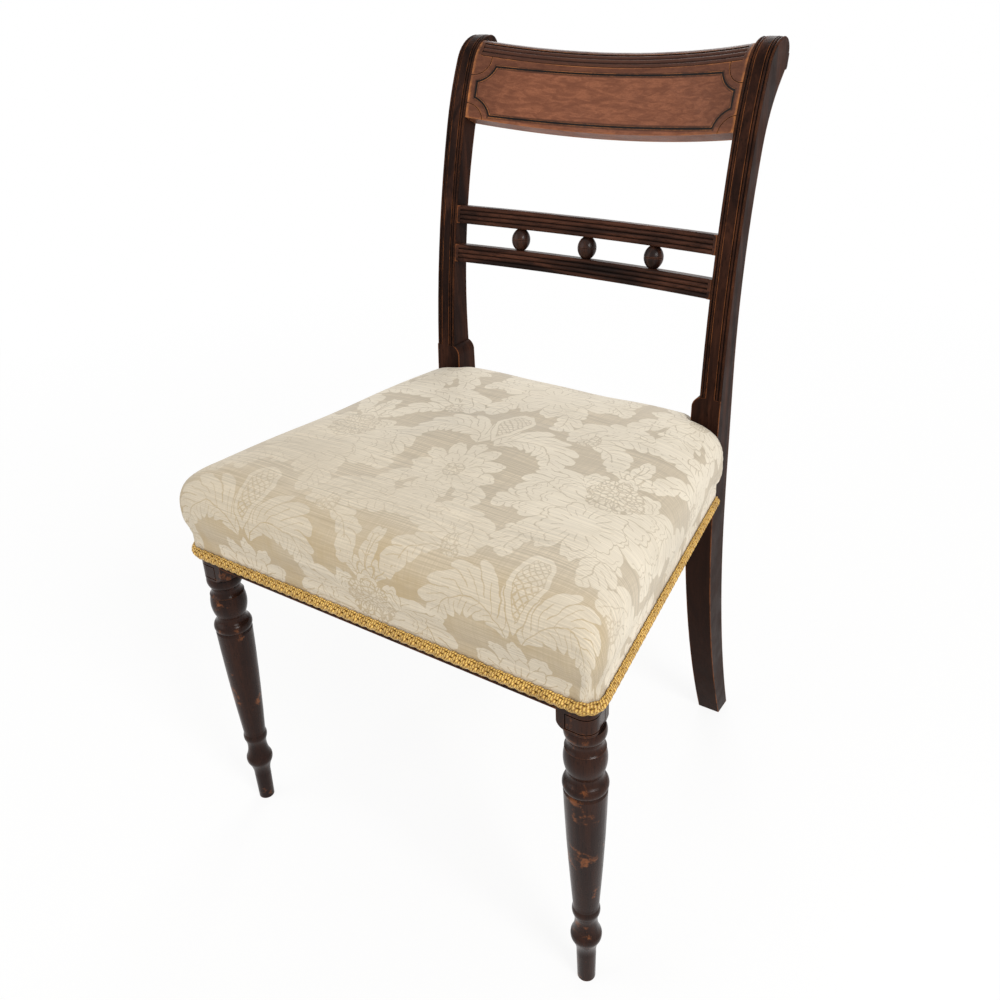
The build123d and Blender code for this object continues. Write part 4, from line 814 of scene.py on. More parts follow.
# Pieces of one column of the damask, in millimetres: x from the column's line, where each piece is mirrored,
# and y from the middle of its bud, towards the back of the seat. They are drawn one over another, in order.
# A leaf is (foot x, foot y, angle from upright, length, half width, curl radius, lobes).
LEAVES = (
    (86, 8, 56, 100, 23, 110, 5),
    (98, 24, 6, 58, 12, 24, 3),
    (94, 0, 96, 72, 15, 48, 4),
    (40, -196, 66, 84, 17, 38, 4),
    (8, -140, 92, 72, 15, 42, 4),
    (0, -136, 180, 76, 22, 400, 4),
    (9, -66, 12, 116, 27, 37, 7),
    (24, 66, 132, 66, 18, 56, 4),
    (36, 98, 84, 66, 20, 64, 4),
    (16, 128, 26, 98, 22, 31, 6),
    (8, 172, 26, 46, 10, 60, 3),
    (0, 166, 0, 62, 13, 400, 3),
)
# A flower is (y, radius, petals, depth of its lobes, distance in to the line that repeats its edge).
FLOWERS = (
    (-119, 51, 11, 0.42, 5),
    (-121, 31, 9, 0.4, 40),
    (106, 74, 13, 0.32, 6),
    (117, 54, 11, 0.26, 5),
    (84, 40, 9, 0.36, 40),
)
# A heart is (x, y, radius, petals), and has a fine texture.
HEARTS = ((0, 146, 27, 8), (0, -122, 10, 6), (86, 6, 14, 6))
# The bud is (foot y, length, half width), and has crossed lines.
BUD = (-56, 80, 23)
# Each column's line and bud on the cloth, the repeat each way, and where a repeat ends above its bud
COLUMNS = ((15.0, 2.0), (180.0, -230.0))
REPEAT_ACROSS = 330.0
REPEAT_ALONG = 464.0
REPEAT_TOP = 228.0


def make_column(name):
    """One column of the damask, each piece laid over the last."""
    w, (place,), results = new_group(name, [PLACE], ["Field"])
    pieces = []
    for x, y, turn, length, width, curl, lobes in LEAVES:
        feeds = dict(Foot=(x, y, 0), Turn=(0, 0, -math.radians(turn)), Length=length, Width=width)
        pieces.append(("Damask leaf", make_leaf, dict(feeds, Curl=curl, Lobes=lobes)))
    for y, radius, petals, depth, echo in FLOWERS:
        feeds = dict(Middle=(0, y, 0), Radius=radius, Petals=petals, Depth=depth, Echo=echo)
        pieces.append(("Damask flower", make_flower, feeds))
    for x, y, radius, petals in HEARTS:
        pieces.append(("Damask heart", make_heart, dict(Middle=(x, y, 0), Radius=radius, Petals=petals)))
    foot_y, length, width = BUD
    pieces.append(("Damask bud", make_bud, dict(Foot=(0, foot_y, 0), Length=length, Width=width)))
    field = NOTHING
    for title, make, feeds in pieces:
        field = w.use(title, make, Place=place, Under=field, **feeds)["Field"]
    return w.give(results, Field=field)


def make_damask(name):
    """Floral damask: columns of peonies, palmettes, buds and curling leaves, each column half a repeat on.

    The place is bent a little by noise, wrapped into the repeat and mirrored across the column's line. The
    motif's edge is made a little ragged.
    """
    w, (place,), results = new_group(name, [PLACE], ["Motif"])
    place = w.stretch(place, (1000.0, 1000.0, 0.0))
    swirl = w.node("ShaderNodeTexNoise", {"Vector": place, "Scale": 0.03, "Detail": 3.0}).outputs["Color"]
    bent = w.vector("MULTIPLY_ADD", w.vector("SUBTRACT", swirl, (0.5, 0.5, 0.5)), (17.0, 17.0, 0.0), place)
    x, y = w.across_along(bent)
    fields = []
    for line_x, bud_y in COLUMNS:
        across = w.wrap(w.sub(x, line_x), REPEAT_ACROSS / 2, -REPEAT_ACROSS / 2)
        along = w.wrap(w.sub(y, bud_y), REPEAT_TOP, REPEAT_TOP - REPEAT_ALONG)
        local = w.node("ShaderNodeCombineXYZ", {0: w.abs(across), 1: along}).outputs[0]
        fields.append(w.use("Damask column", make_column, Place=local)["Field"])
    ragged = w.mul_add(w.noise(place, 0.9, 2.0, 0.6), 1.2, -0.6)
    return w.give(results, Motif=w.smooth(w.add(w.max(*fields), ragged), -0.35, 0.35))


def damask_cloth(finish):
    """Cream damask: a darker ground with slubs across, a pale motif, fine weave, rubbed places, and old
    stains with painted shade on the front.

    The motif is colour and gloss only: in the bump as well, it would outgrow the shader's memory.
    """
    material, w, shader = new_material("damask")
    flat = w.uv("flat")
    motif = w.use("Damask", make_damask, Place=flat)["Motif"]
    weave = w.use("Weave", make_weave, Place=flat, Threads=1500.0)
    across, depth, _ = w.parts(flat)
    dim, bright = toned(finish.cloth_ground, 0.78), toned(finish.cloth_ground, 1.22)
    ground = w.mix(weave["Slubs"], dim, bright)
    ground = w.mix(w.mul(weave["Streaks"], 0.45), ground, dim)
    raised = w.mix(weave["Slubs"], toned(finish.cloth_motif, 0.86), toned(finish.cloth_motif, 1.07))
    # How much of the motif shows: least at the front left of the top, full further back, and up to 0.7 on the
    # front face.
    lean = w.mul_add(across, 0.35, depth)
    motif_share = w.max(
        w.smooth(lean, RAIL_FRONT, RAIL_FRONT + 0.22, 0.38, 1.0),
        w.smooth(depth, RAIL_FRONT + 0.01, RAIL_FRONT - 0.06, 0.0, 0.7),
    )
    rubbed = w.smooth(w.noise(flat, 24.0, 4.0, 0.6), 0.2, 0.62, 0.7, 1.0)
    colour = w.mix(w.mul(motif, w.mul(motif_share, rubbed)), ground, raised)
    # Old stains, and painted shade: the whole front edge and face are darkened and warmed, with stains in
    # noise over it.
    front = w.smooth(depth, RAIL_FRONT + 0.05, RAIL_FRONT - 0.03)
    stain_and_shade = w.mul(front, w.smooth(w.noise(flat, 15.0, 5.0, 0.62), 0.36, 0.68, 0.45, 1.0))
    colour = w.mix(w.mul(stain_and_shade, w.smooth(motif, 0.0, 1.0, 0.8, 0.18)), colour, finish.cloth_stain_and_shade)
    worn = w.smooth(w.noise(flat, 5.5, 3.0, 0.5), 0.5, 0.74)
    colour = w.mix(w.mul(worn, 0.22), colour, toned(finish.cloth_ground, 0.8))
    threads = w.mul_add(weave["Slubs"], 0.9, w.mul(weave["Height"], 0.6))
    w.feed_all(shader, {
        "Base Color": colour,
        "Roughness": w.smooth(motif, 0.0, 1.0, 0.6, 0.8),
        "Specular IOR Level": 0.25,
        "Sheen Weight": 0.15,
        "Sheen Roughness": 0.4,
        "Normal": w.bump(threads, 0.5, 0.0003),
    })
    return material


def braid_thread(name, light, dark):
    """Shiny gold thread, twisted, with painted highlight and painted shade: light and dark turns along the
    cord's own length.
    """
    material, w, shader = new_material(name)
    along, around, _ = w.parts(w.uv("cord"))
    turns = w.mul_add(along, 2 * math.pi / TWIST_PITCH, w.mul(around, 2 * math.pi))
    twist = w.mul_add(w.sin(turns), 0.5, 0.5)
    patch = w.smooth(w.noise(w.place(), 60.0, 4.0, 0.6), 0.35, 0.68)
    # Painted highlight and shade: each turn of the twist runs from the dark gold to the light gold.
    colour = w.mix(twist, dark, light)
    w.feed_all(shader, {
        "Base Color": w.mix(w.mul(patch, 0.4), colour, toned(dark, 0.6)),
        "Roughness": w.smooth(twist, 0.0, 1.0, 0.55, 0.34),
        "Specular IOR Level": 0.45,
        "Normal": w.bump(twist, 0.7, 0.0004),
    })
    return material


def coarse_cloth(name, colour, dark, threads, stripe=None):
    """Coarse plain-woven cloth on its own UV map, with dark stripes along it where a place is given."""
    material, w, shader = new_material(name)
    flat = w.uv("flat")
    weave = w.use("Weave", make_weave, Place=flat, Threads=threads)
    # Painted shade between the threads: the low places of the weave are darker.
    shade = w.mix(weave["Height"], dark, colour)
    shade = w.mix(w.mul(weave["Slubs"], 0.4), shade, dark)
    if stripe is not None:
        stripe_full, stripe_fade, stripe_colour = 0.0014, 0.0022, (0.03, 0.022, 0.016)
        near = w.abs(w.sub(w.abs(w.parts(flat)[0]), stripe))
        shade = w.mix(w.smooth(near, stripe_fade, stripe_full, 0.0, 0.85), shade, stripe_colour)
    cloudy = w.smooth(w.noise(flat, 14.0, 4.0, 0.6), 0.35, 0.7)
    w.feed_all(shader, {
        "Base Color": w.mix(w.mul(cloudy, 0.3), shade, toned(dark, 0.5)),
        "Roughness": w.smooth(weave["Height"], 0.0, 1.0, 0.95, 0.8),
        "Sheen Weight": 0.15,
        "Normal": w.bump(weave["Height"], 0.8, 0.0005),
    })
    return material


def metal(name, bright, dull, rough):
    """Old metal: a plain face, dulled in patches."""
    material, w, shader = new_material(name)
    place = w.place()
    patch = w.smooth(w.noise(place, 420.0, 4.0, 0.6), 0.38, 0.66)
    w.feed_all(shader, {
        "Base Color": w.mix(patch, bright, dull),
        "Roughness": w.smooth(patch, 0.0, 1.0, rough, rough + 0.3),
        "Metallic": w.smooth(patch, 0.0, 1.0, 1.0, 0.55),
        "Normal": w.bump(w.noise(place, 900.0, 3.0, 0.6), 0.25, 0.0002),
    })
    return material


def metres(name, description, default):
    """A setting in metres."""
    return FloatProperty(name=name, description=description, default=default, unit="LENGTH")


def paint(name, description, default):
    """A setting for a colour, in linear light."""
    return FloatVectorProperty(name=name, description=description, default=default, subtype="COLOR")


def watts(name, description, default):
    """A setting in watts."""
    return FloatProperty(name=name, description=description, default=default, unit="POWER")


def degrees(name, description, value):
    """A setting for an angle."""
    default = math.radians(value)
    return FloatProperty(name=name, description=description, default=default, subtype="ANGLE")


class ChairSeat(bpy.types.PropertyGroup):
    """Sizes of the stuffed seat and its cover."""

    crown_height: metres("Crown", "Height of the seat's crown", 0.4715)
    widest_height: metres("Widest", "Height of the widest line", 0.416)
    roll: metres("Swell", "How far the sides swell past the rails", 0.009)
    roll_back: metres("Swell behind", "How far the back swells past its rail", 0.002)
    roll_start: metres("Swell start", "Height where the swell starts", 0.387)
    cover_low: metres("Lower edge", "Height of the cover's lower edge", 0.3595)
    crown_inset: metres("Crown inset", "From the widest line in to the crown", 0.14)
    corner: metres("Corner", "Corner radius at the widest line", 0.02)
    low_corner: metres("Lower corner", "Corner radius at the rails", 0.016)
    crown_corner: metres("Crown corner", "Corner radius at the crown", 0.024)
    covered: metres("Covering", "Cloth and lining over the rails", 0.003)
    dome: metres("Dome", "Rise of the crown's middle", 0.006)
    post_gap: metres("Post gap", "Between cover and rear posts", 0.0008)
    tuck: metres("Tuck", "How far the cover dips beside the posts", 0.006)
    thickness: metres("Cloth", "Thickness of the cover", 0.0012)
    pressure_reach: metres("Stuffing reach", "Most that the stuffing moves the cloth", 0.006)
    pressure: FloatProperty(
        name="Stuffing", description="Pressure of the stuffing", default=4.0, min=0.0, max=20.0
    )
    shoulder: FloatProperty(
        name="Shoulder", description="How square the crown's shoulder is", default=3.7, min=2.0, max=6.0
    )
    columns: IntProperty(name="Columns", description="Grid columns of the cover", default=233, min=21)
    rows: IntProperty(name="Rows", description="Grid rows of the cover", default=199, min=21)


class ChairFinish(bpy.types.PropertyGroup):
    """Colours of the chair's finishes."""

    wood_dark: paint("Dark wood", "Darkest polish", (0.011, 0.0052, 0.004))
    wood_body: paint("Wood", "Body of the polish", (0.05, 0.0185, 0.0105))
    wood_worn: paint("Worn wood", "Wood at worn edges", (0.27, 0.09, 0.03))
    crest_dark: paint("Dark crest", "Darker figure of the crest", (0.17, 0.06, 0.032))
    crest_body: paint("Crest", "Body of the crest", (0.3, 0.112, 0.058))
    beech: paint("Beech", "Bare corner blocks", (0.4, 0.24, 0.12))
    cloth_motif: paint("Motif", "Figure of the damask", (0.79, 0.715, 0.585))
    cloth_ground: paint("Ground", "Ground of the damask", (0.57, 0.49, 0.372))
    # Old stains, and painted shade on the seat's front, in one colour.
    cloth_stain_and_shade: paint("Stain", "Old stains on the damask", (0.47, 0.35, 0.185))
    # The braid's twist is painted from these two: a highlight colour and a shade colour.
    gold_highlight: paint("Gold", "Light side of the braid", (0.9, 0.6, 0.15))
    gold_shade: paint("Dark gold", "Dark side of the braid", (0.28, 0.12, 0.015))
    jute: paint("Jute", "Webbing", (0.45, 0.33, 0.19))
    hessian: paint("Hessian", "Base cloth", (0.4, 0.28, 0.15))


class ChairTrim(bpy.types.PropertyGroup):
    """Sizes of the braid and webbing."""

    braid_gap: metres("Braid gap", "From the cover to the braid", 0.0006)
    braid_pitch: metres("Braid pitch", "One turn of the braid's crossing cords", 0.03)
    braid_cord: metres("Braid cord", "Radius of the crossing cords", 0.0021)
    braid_edge: metres("Braid edge", "Radius of the edge cords", 0.0011)
    strap_width: metres("Strap", "Width of a webbing strap", 0.05)
    strap_thickness: metres("Strap thickness", "Thickness of a strap", 0.0012)
    deep_pitch: metres("Deep straps", "Between straps that run back", 0.072)
    across_pitch: metres("Cross straps", "Between straps that run across", 0.096)


class ChairStage(bpy.types.PropertyGroup):
    """Light and camera."""

    key_power: watts("Key", "Power of the main lamp", 36.0)
    fill_power: watts("Fill", "Power of the fill and back lamps", 14.0)
    sky: FloatProperty(
        name="Sky", description="Strength of the light from all round", default=0.55, min=0.0, max=2.0
    )
    lens: FloatProperty(
        name="Lens", description="Focal length", default=35.896, subtype="DISTANCE_CAMERA"
    )
    azimuth: degrees("Azimuth", "Camera round the chair", 35.63)
    elevation: degrees("Elevation", "Camera's look down", 26.651)
    roll: degrees("Roll", "Camera's tilt", -2.84)
    place: FloatVectorProperty(
        name="Place", description="Camera's place", default=(0.560809, -0.809516, 0.930401),
        subtype="TRANSLATION",
    )


POSTS = ("rear_post_left", "rear_post_right")
LEGS = ("front_leg_left", "front_leg_right")
CROSS_RAILS = ("upper_cross_rail", "lower_cross_rail")
BALLS = ("ball_left", "ball_centre", "ball_right")
RAILS_ACROSS = ("seat_rail_front", "seat_rail_back")
SIDE_RAILS = ("seat_rail_left", "seat_rail_right")
BLOCKS = tuple(f"corner_block_{end}_{side}" for end in ("front", "rear") for side in ("left", "right"))


class CHAIR_OT_frame(bpy.types.Operator):
    """Finish the wooden frame"""

    bl_idname = "chair.frame"
    bl_label = "Wooden frame"

    def execute(self, context):
        finish = context.scene.chair_finish
        dark, body, worn = tuple(finish.wood_dark), tuple(finish.wood_body), tuple(finish.wood_worn)
        crest_dark, crest_body = tuple(finish.crest_dark), tuple(finish.crest_body)
        crest_worn, crest_shade = (0.46, 0.17, 0.055), (0.034, 0.015, 0.011)
        ebony_dark, ebony, ebony_worn = (0.006, 0.005, 0.005), (0.013, 0.01, 0.01), (0.03, 0.02, 0.017)
        for nodes, name, colours, along, settings in (
            (POSTS, "mahogany_post", (dark, body, worn), "Z",
             dict(wear=0.9, reach=0.0028, gloss=0.4, shine=0.03, shaded=painted_shade_below_seat)),
            (LEGS, "mahogany_leg", (toned(dark, 1.6), toned(body, 0.75), worn), "Z",
             dict(wear=0.35, reach=0.003, gloss=0.24, shine=0.12, patches=0.9)),
            (CROSS_RAILS, "mahogany_across", (dark, toned(body, 1.9), worn), "X",
             dict(wear=0.6, reach=0.0028, gloss=0.36, shine=0.06)),
            (BALLS, "mahogany_ball", (dark, toned(body, 1.5), worn), "Z",
             dict(wear=0.4, reach=0.003, gloss=0.26, shine=0.15)),
            (RAILS_ACROSS, "mahogany_rail", (dark, body, worn), "X", dict(wear=0.5, shine=0.03)),
            (SIDE_RAILS, "mahogany_side_rail", (dark, body, worn), "Y", dict(wear=0.5, shine=0.03)),
            (("crest_rail",), "mahogany_crest", (crest_dark, crest_body, crest_worn), "X",
             dict(wear=0.9, gloss=0.38, shine=0.1, squeeze=(1.0, 3.8), shaded=on_crest, shade=crest_shade)),
            (("crest_stringing",), "ebony_line", (ebony_dark, ebony, ebony_worn), "X", dict(wear=0.0)),
        ):
            dress(nodes, polished_wood(name, *colours, along, **settings))
        return {"FINISHED"}


class CHAIR_OT_fixings(bpy.types.Operator):
    """Finish the corner blocks, screws and tacks"""

    bl_idname = "chair.fixings"
    bl_label = "Blocks and fixings"

    def execute(self, context):
        beech = tuple(context.scene.chair_finish.beech)
        colours = (toned(beech, 0.55), beech, toned(beech, 1.25))
        dress(BLOCKS, polished_wood("bare_beech", *colours, "X", wear=0.5, reach=0.003, gloss=0.7))
        dress(("corner_block_screws",), metal("steel_screw", (0.42, 0.41, 0.39), (0.16, 0.11, 0.08), 0.34))
        blued = metal("blued_tack", (0.07, 0.075, 0.09), (0.05, 0.035, 0.028), 0.38)
        dress(("webbing_tacks", "cover_tacks"), blued)
        return {"FINISHED"}


class CHAIR_OT_cover(bpy.types.Operator):
    """Make the stuffed seat in its damask cover"""

    bl_idname = "chair.cover"
    bl_label = "Seat cover"

    def execute(self, context):
        seat = context.scene.chair_seat
        grid = (seat.rows, seat.columns)
        fine, flat = seat_form(seat, *grid, 0.0)
        shrunk, _ = seat_form(seat, *grid, START_SHRINK)
        top = np.clip((fine[..., 2] - seat.roll_start) / SETTLE_BAND, 0, 1)[..., None]
        before = fine * (1 - top) + (shrunk + spread_grid(self.settled(seat), *grid)) * top
        inside, fine, away = post_notch(before, seat.post_gap)
        fine = fine + self.uneven(fine, flat, seat)
        fine[..., 2] -= seat.tuck * np.exp(-((away / DIP_WIDTH) ** 2)) * top[..., 0]
        fine, turned = tucked_ends(fine, before, seat)
        faces = grid_faces(*grid)
        cut = inside.ravel()[faces].all(axis=1) & ~turned.ravel()[faces].all(axis=1)
        cloth = damask_cloth(context.scene.chair_finish)
        made = mesh_object("damask_cover", fine, faces[~cut], cloth)
        set_uv(made, "flat", flat.reshape(-1, 2))
        give_thickness(made, seat.thickness)
        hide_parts("seat_cover", "calico_lining", "hair_stuffing")
        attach(made, "root")
        return {"FINISHED"}

    @staticmethod
    def settled(seat):
        """How far the stuffing moves the cover, on a grid with a third of its rows and columns."""
        rough = (seat.rows // 3, seat.columns // 3)
        points, _ = seat_form(seat, *rough, START_SHRINK)
        inside, points, away = post_notch(points, seat.post_gap)
        low = np.clip((seat.roll_start + HELD_AT_RAILS - points[..., 2]) / HELD_AT_RAILS, 0, 1)
        held = np.maximum(low, np.where(inside | (away < HELD_AT_POSTS), 1.0, 0.0))
        move = stuffed(points.reshape(-1, 3), grid_faces(*rough), held.ravel(), seat)
        return move.reshape(points.shape)

    @staticmethod
    def uneven(points, flat, seat):
        """Hand-stuffed unevenness: slow waves over the seat, and pleats that run up from the front corners.

        The waves are sines of the flat place. The pleats are a sine of the angle about a point inside the
        corner, and fade with the distance from the corner and towards the crown and the lower edge.
        """
        wave_height, wave_band = 0.0007, 0.03
        pleat_depth, pleat_reach, pleat_count, pleat_inside = 0.0012, 0.03, 26, 0.05
        pleat_top, pleat_fade_low, pleat_fade_high = 0.45, 0.012, 0.03
        x, y = flat[..., 0], flat[..., 1]
        slow = np.sin(x * 31 + 1.1) * np.sin(y * 27 + 0.4) + 0.6 * np.sin(x * 57 - y * 44 + 2.0)
        over_x = np.abs(points[..., 0]) - CORNER_X
        over_y = points[..., 1] - RAIL_FRONT
        z = points[..., 2]
        lift = np.zeros_like(points)
        lift[..., 2] = wave_height * slow * np.clip((z - seat.roll_start) / wave_band, 0, 1)
        turn = np.arctan2(over_y - pleat_inside, over_x + pleat_inside)
        level = np.clip((z - seat.cover_low) / pleat_fade_low, 0, 1)
        level = level * np.clip((pleat_top - z) / pleat_fade_high, 0, 1)
        near = np.exp(-((np.hypot(over_x, over_y) / pleat_reach) ** 2))
        pleat = pleat_depth * near * level * np.sin(turn * pleat_count)
        out = np.stack([np.sign(points[..., 0]), -np.ones_like(x)], axis=-1) / math.sqrt(2)
        lift[..., :2] += out * pleat[..., None]
        return lift


def even_path(line):
    """A plan line walked in even steps: points, outward normals and distances."""
    run = np.concatenate([[0.0], np.cumsum(np.hypot(*np.diff(line, axis=0).T))])
    walk = np.linspace(0, run[-1], int(run[-1] / BRAID_STEP) + 1)
    points = np.stack([np.interp(walk, run, line[:, i]) for i in (0, 1)], axis=-1)
    ahead = np.gradient(points, axis=0)
    ahead /= np.linalg.norm(ahead, axis=1, keepdims=True)
    normal = np.stack([-ahead[:, 1], ahead[:, 0]], axis=-1)
    return points, normal, walk


def braid_path(grow, radius):
    """The braid's line round the front and sides, from post to post: points, outward normals, distances.

    Straight runs along the sides and the front, joined by arcs about the corners' rounding centres.
    """
    arc_points = 40
    x, y = ring_corner(grow, grow, radius, RAIL_FRONT, 1)
    end_y = POST_FRONT - BRAID_END
    end_x = CORNER_X + grow / SIDE_COS - SIDE_SLOPE * (end_y - RAIL_FRONT)
    turn = np.linspace(SIDE_ANGLE, -math.pi / 2, arc_points)
    arc = np.stack([x + radius * np.cos(turn), y + radius * np.sin(turn)], axis=-1)
    right = np.concatenate([[(end_x, end_y)], arc])
    return even_path(np.concatenate([right, right[::-1] * (-1, 1)]))


def braid_cords(points, normal, walk, trim):
    """Cords of the braid, with a UV along and around each: three that cross in waves, and one on each edge.

    A wave cord goes up and down by a sine of the distance and in and out by a cosine of twice it. An edge
    cord has small loops.
    """
    middle = (BRAID_LOW + BRAID_HIGH) / 2
    reach = (BRAID_HIGH - BRAID_LOW) / 2 - trim.braid_edge
    phase = walk * 2 * math.pi / trim.braid_pitch
    cords = []
    for shift in (0.0, 2 * math.pi / 3, 4 * math.pi / 3):
        rise = (reach - trim.braid_cord) * np.sin(phase + shift)
        out = trim.braid_cord + CORD_LIFT + CORD_DEPTH * np.cos(2 * (phase + shift))
        cords.append((rise, out, trim.braid_cord))
    loops = EDGE_LOOPS * np.abs(np.sin(phase * 1.5))
    for hand in (-1, 1):
        cords.append((hand * (reach - EDGE_IN + loops), np.full_like(walk, EDGE_OUT), trim.braid_edge))
    outward = np.column_stack([normal, np.zeros(len(normal))])
    upward = np.broadcast_to((0.0, 0.0, 1.0), outward.shape)
    parts = []
    for rise, out, radius in cords:
        path = np.column_stack([points + normal * out[:, None], middle + rise])
        parts.append(tube(path, outward, upward, radius, CORD_SIDES))
    around = np.linspace(0, 1, CORD_SIDES, endpoint=False)
    run = np.stack(np.meshgrid(walk, around, indexing="ij"), axis=-1).reshape(-1, 2)
    return *joined(parts), np.tile(run, (len(cords), 1))


class CHAIR_OT_braid(bpy.types.Operator):
    """Make the gold braid round the seat"""

    bl_idname = "chair.braid"
    bl_label = "Braid"

    def execute(self, context):
        scene = context.scene
        trim, seat, finish = scene.chair_trim, scene.chair_seat, scene.chair_finish
        thread = braid_thread("gold_thread", tuple(finish.gold_highlight), tuple(finish.gold_shade))
        grow = seat.covered + trim.braid_gap
        front = braid_path(grow, seat.low_corner + trim.braid_gap)
        back_y = RAIL_BACK + seat.covered + trim.braid_gap
        half = POST_IN - BRAID_END
        back = even_path(np.array([[-half, back_y], [half, back_y]]))
        for name, node, line in (
            ("braid_front", "gimp_braid", front),
            ("braid_back", "gimp_braid_back", back),
        ):
            points, faces, run = braid_cords(*line, trim)
            made = mesh_object(name, points, faces, thread)
            set_uv(made, "cord", run)
            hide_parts(node)
            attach(made, "root")
        return {"FINISHED"}


def strap(path, across, width, thickness):
    """A flat strap along a path, as points, quads and flat places.

    A thin section of ten points is carried along the path, and its ends are closed.
    """
    offset = np.array([-1, -0.5, 0, 0.5, 1, 1, 0.5, 0, -0.5, -1]) * width / 2
    level = np.array([1, 1, 1, 1, 1, -1, -1, -1, -1, -1]) * thickness / 2
    up = np.array([0.0, 0.0, 1.0])
    points = path[:, None] + across * offset[None, :, None] + up * level[None, :, None]
    sides = grid_faces(len(path), len(offset), closed=True)[:, ::-1]
    first = np.array([[0, 1, 8, 9], [1, 2, 7, 8], [2, 3, 6, 7], [3, 4, 5, 6]])
    last = first[:, ::-1] + (len(path) - 1) * len(offset)
    along = np.linalg.norm(path - path[0], axis=1)
    flat = np.stack(np.broadcast_arrays(offset[None, :], along[:, None]), axis=-1).reshape(-1, 2)
    return points.reshape(-1, 3), np.concatenate([sides, first, last]), flat


class CHAIR_OT_webbing(bpy.types.Operator):
    """Make the woven webbing straps under the seat"""

    bl_idname = "chair.webbing"
    bl_label = "Webbing"

    def execute(self, context):
        trim = context.scene.chair_trim
        jute = tuple(context.scene.chair_finish.jute)
        cloth = coarse_cloth("jute_webbing", jute, toned(jute, 0.5), threads=620.0, stripe=0.019)
        middle_y = (RAIL_FRONT + RAIL_BACK) / 2
        deep_x = (np.arange(DEEP_STRAPS) - (DEEP_STRAPS - 1) / 2) * trim.deep_pitch
        rows_y = middle_y + (np.arange(ACROSS_STRAPS) - (ACROSS_STRAPS - 1) / 2) * trim.across_pitch
        deep, across = [], []
        for i, x in enumerate(deep_x):
            deep.append(((x, RAIL_FRONT + STRAP_END), (x, RAIL_BACK - STRAP_END), rows_y, 1 - 2 * (i % 2)))
        for i, y in enumerate(rows_y):
            half = CORNER_X - SIDE_SLOPE * (y + trim.strap_width / 2 - RAIL_FRONT) - STRAP_END
            across.append(((-half, y), (half, y), deep_x, 2 * (i % 2) - 1))
        self.make("webbing_deep", "webbing_front_to_back", deep, 1, cloth, trim)
        self.make("webbing_across", "webbing_side_to_side", across, 0, cloth, trim)
        return {"FINISHED"}

    def make(self, name, node, runs, axis, cloth, trim):
        """One set of straps along x or y, each over and under the straps that it crosses.

        A run is (first end, last end, places of the crossings, 1 or -1 to start over or under).
        """
        shapes, flats = [], []
        half_width, half_thick = trim.strap_width / 2, trim.strap_thickness / 2
        base = RAIL_TOP + half_thick
        side = np.zeros(3)
        side[1 - axis] = 1.0 if axis == 1 else -1.0
        for first, last, crossings, sign in runs:
            places, levels = [first[axis], first[axis] + STRAP_LANDING], [base, base]
            for place in crossings:
                level = base + half_thick + CROSSING_RISE + sign * (half_thick + CROSSING_GAP)
                places += [place - half_width, place + half_width]
                levels += [level, level]
                sign = -sign
            places += [last[axis] - STRAP_LANDING, last[axis]]
            levels += [base, base]
            along = np.linspace(first[axis], last[axis], STRAP_POINTS)
            path = np.zeros((STRAP_POINTS, 3))
            path[:, axis] = along
            path[:, 1 - axis] = first[1 - axis]
            path[:, 2] = np.interp(along, places, levels)
            points, quads, flat = strap(path, side, trim.strap_width, trim.strap_thickness)
            shapes.append((points, quads))
            flats.append(flat)
        made = mesh_object(name, *joined(shapes), cloth)
        set_uv(made, "flat", np.concatenate(flats))
        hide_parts(node)
        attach(made, "root")


class CHAIR_OT_hessian(bpy.types.Operator):
    """Make the hessian sheet over the webbing"""

    bl_idname = "chair.hessian"
    bl_label = "Hessian"

    def execute(self, context):
        colour = tuple(context.scene.chair_finish.hessian)
        cloth = coarse_cloth("hessian", colour, toned(colour, 0.42), threads=760.0)
        rows, columns = HESSIAN_GRID
        deep = RAIL_BACK - RAIL_FRONT - 2 * HESSIAN_INSET
        v, u = np.meshgrid(np.linspace(0, 1, rows), np.linspace(-1, 1, columns), indexing="ij")
        y = RAIL_FRONT + HESSIAN_INSET + deep * v
        x = u * (CORNER_X - HESSIAN_INSET / SIDE_COS - SIDE_SLOPE * (y - RAIL_FRONT))
        sag = HESSIAN_SAG * np.sin(x * 90) * np.sin(y * 80)
        points = np.stack([x, y, HESSIAN_HIGH - HESSIAN_DROP + sag], axis=-1)
        inside, points, _ = post_notch(points, HESSIAN_GAP)
        points = points.reshape(-1, 3)
        faces = grid_faces(rows, columns)
        faces = faces[~inside.ravel()[faces].all(axis=1)]
        made = mesh_object("hessian_sheet", points, faces, cloth)
        set_uv(made, "flat", points[:, :2])
        give_thickness(made, HESSIAN_THICKNESS)
        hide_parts("hessian_base")
        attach(made, "root")
        return {"FINISHED"}


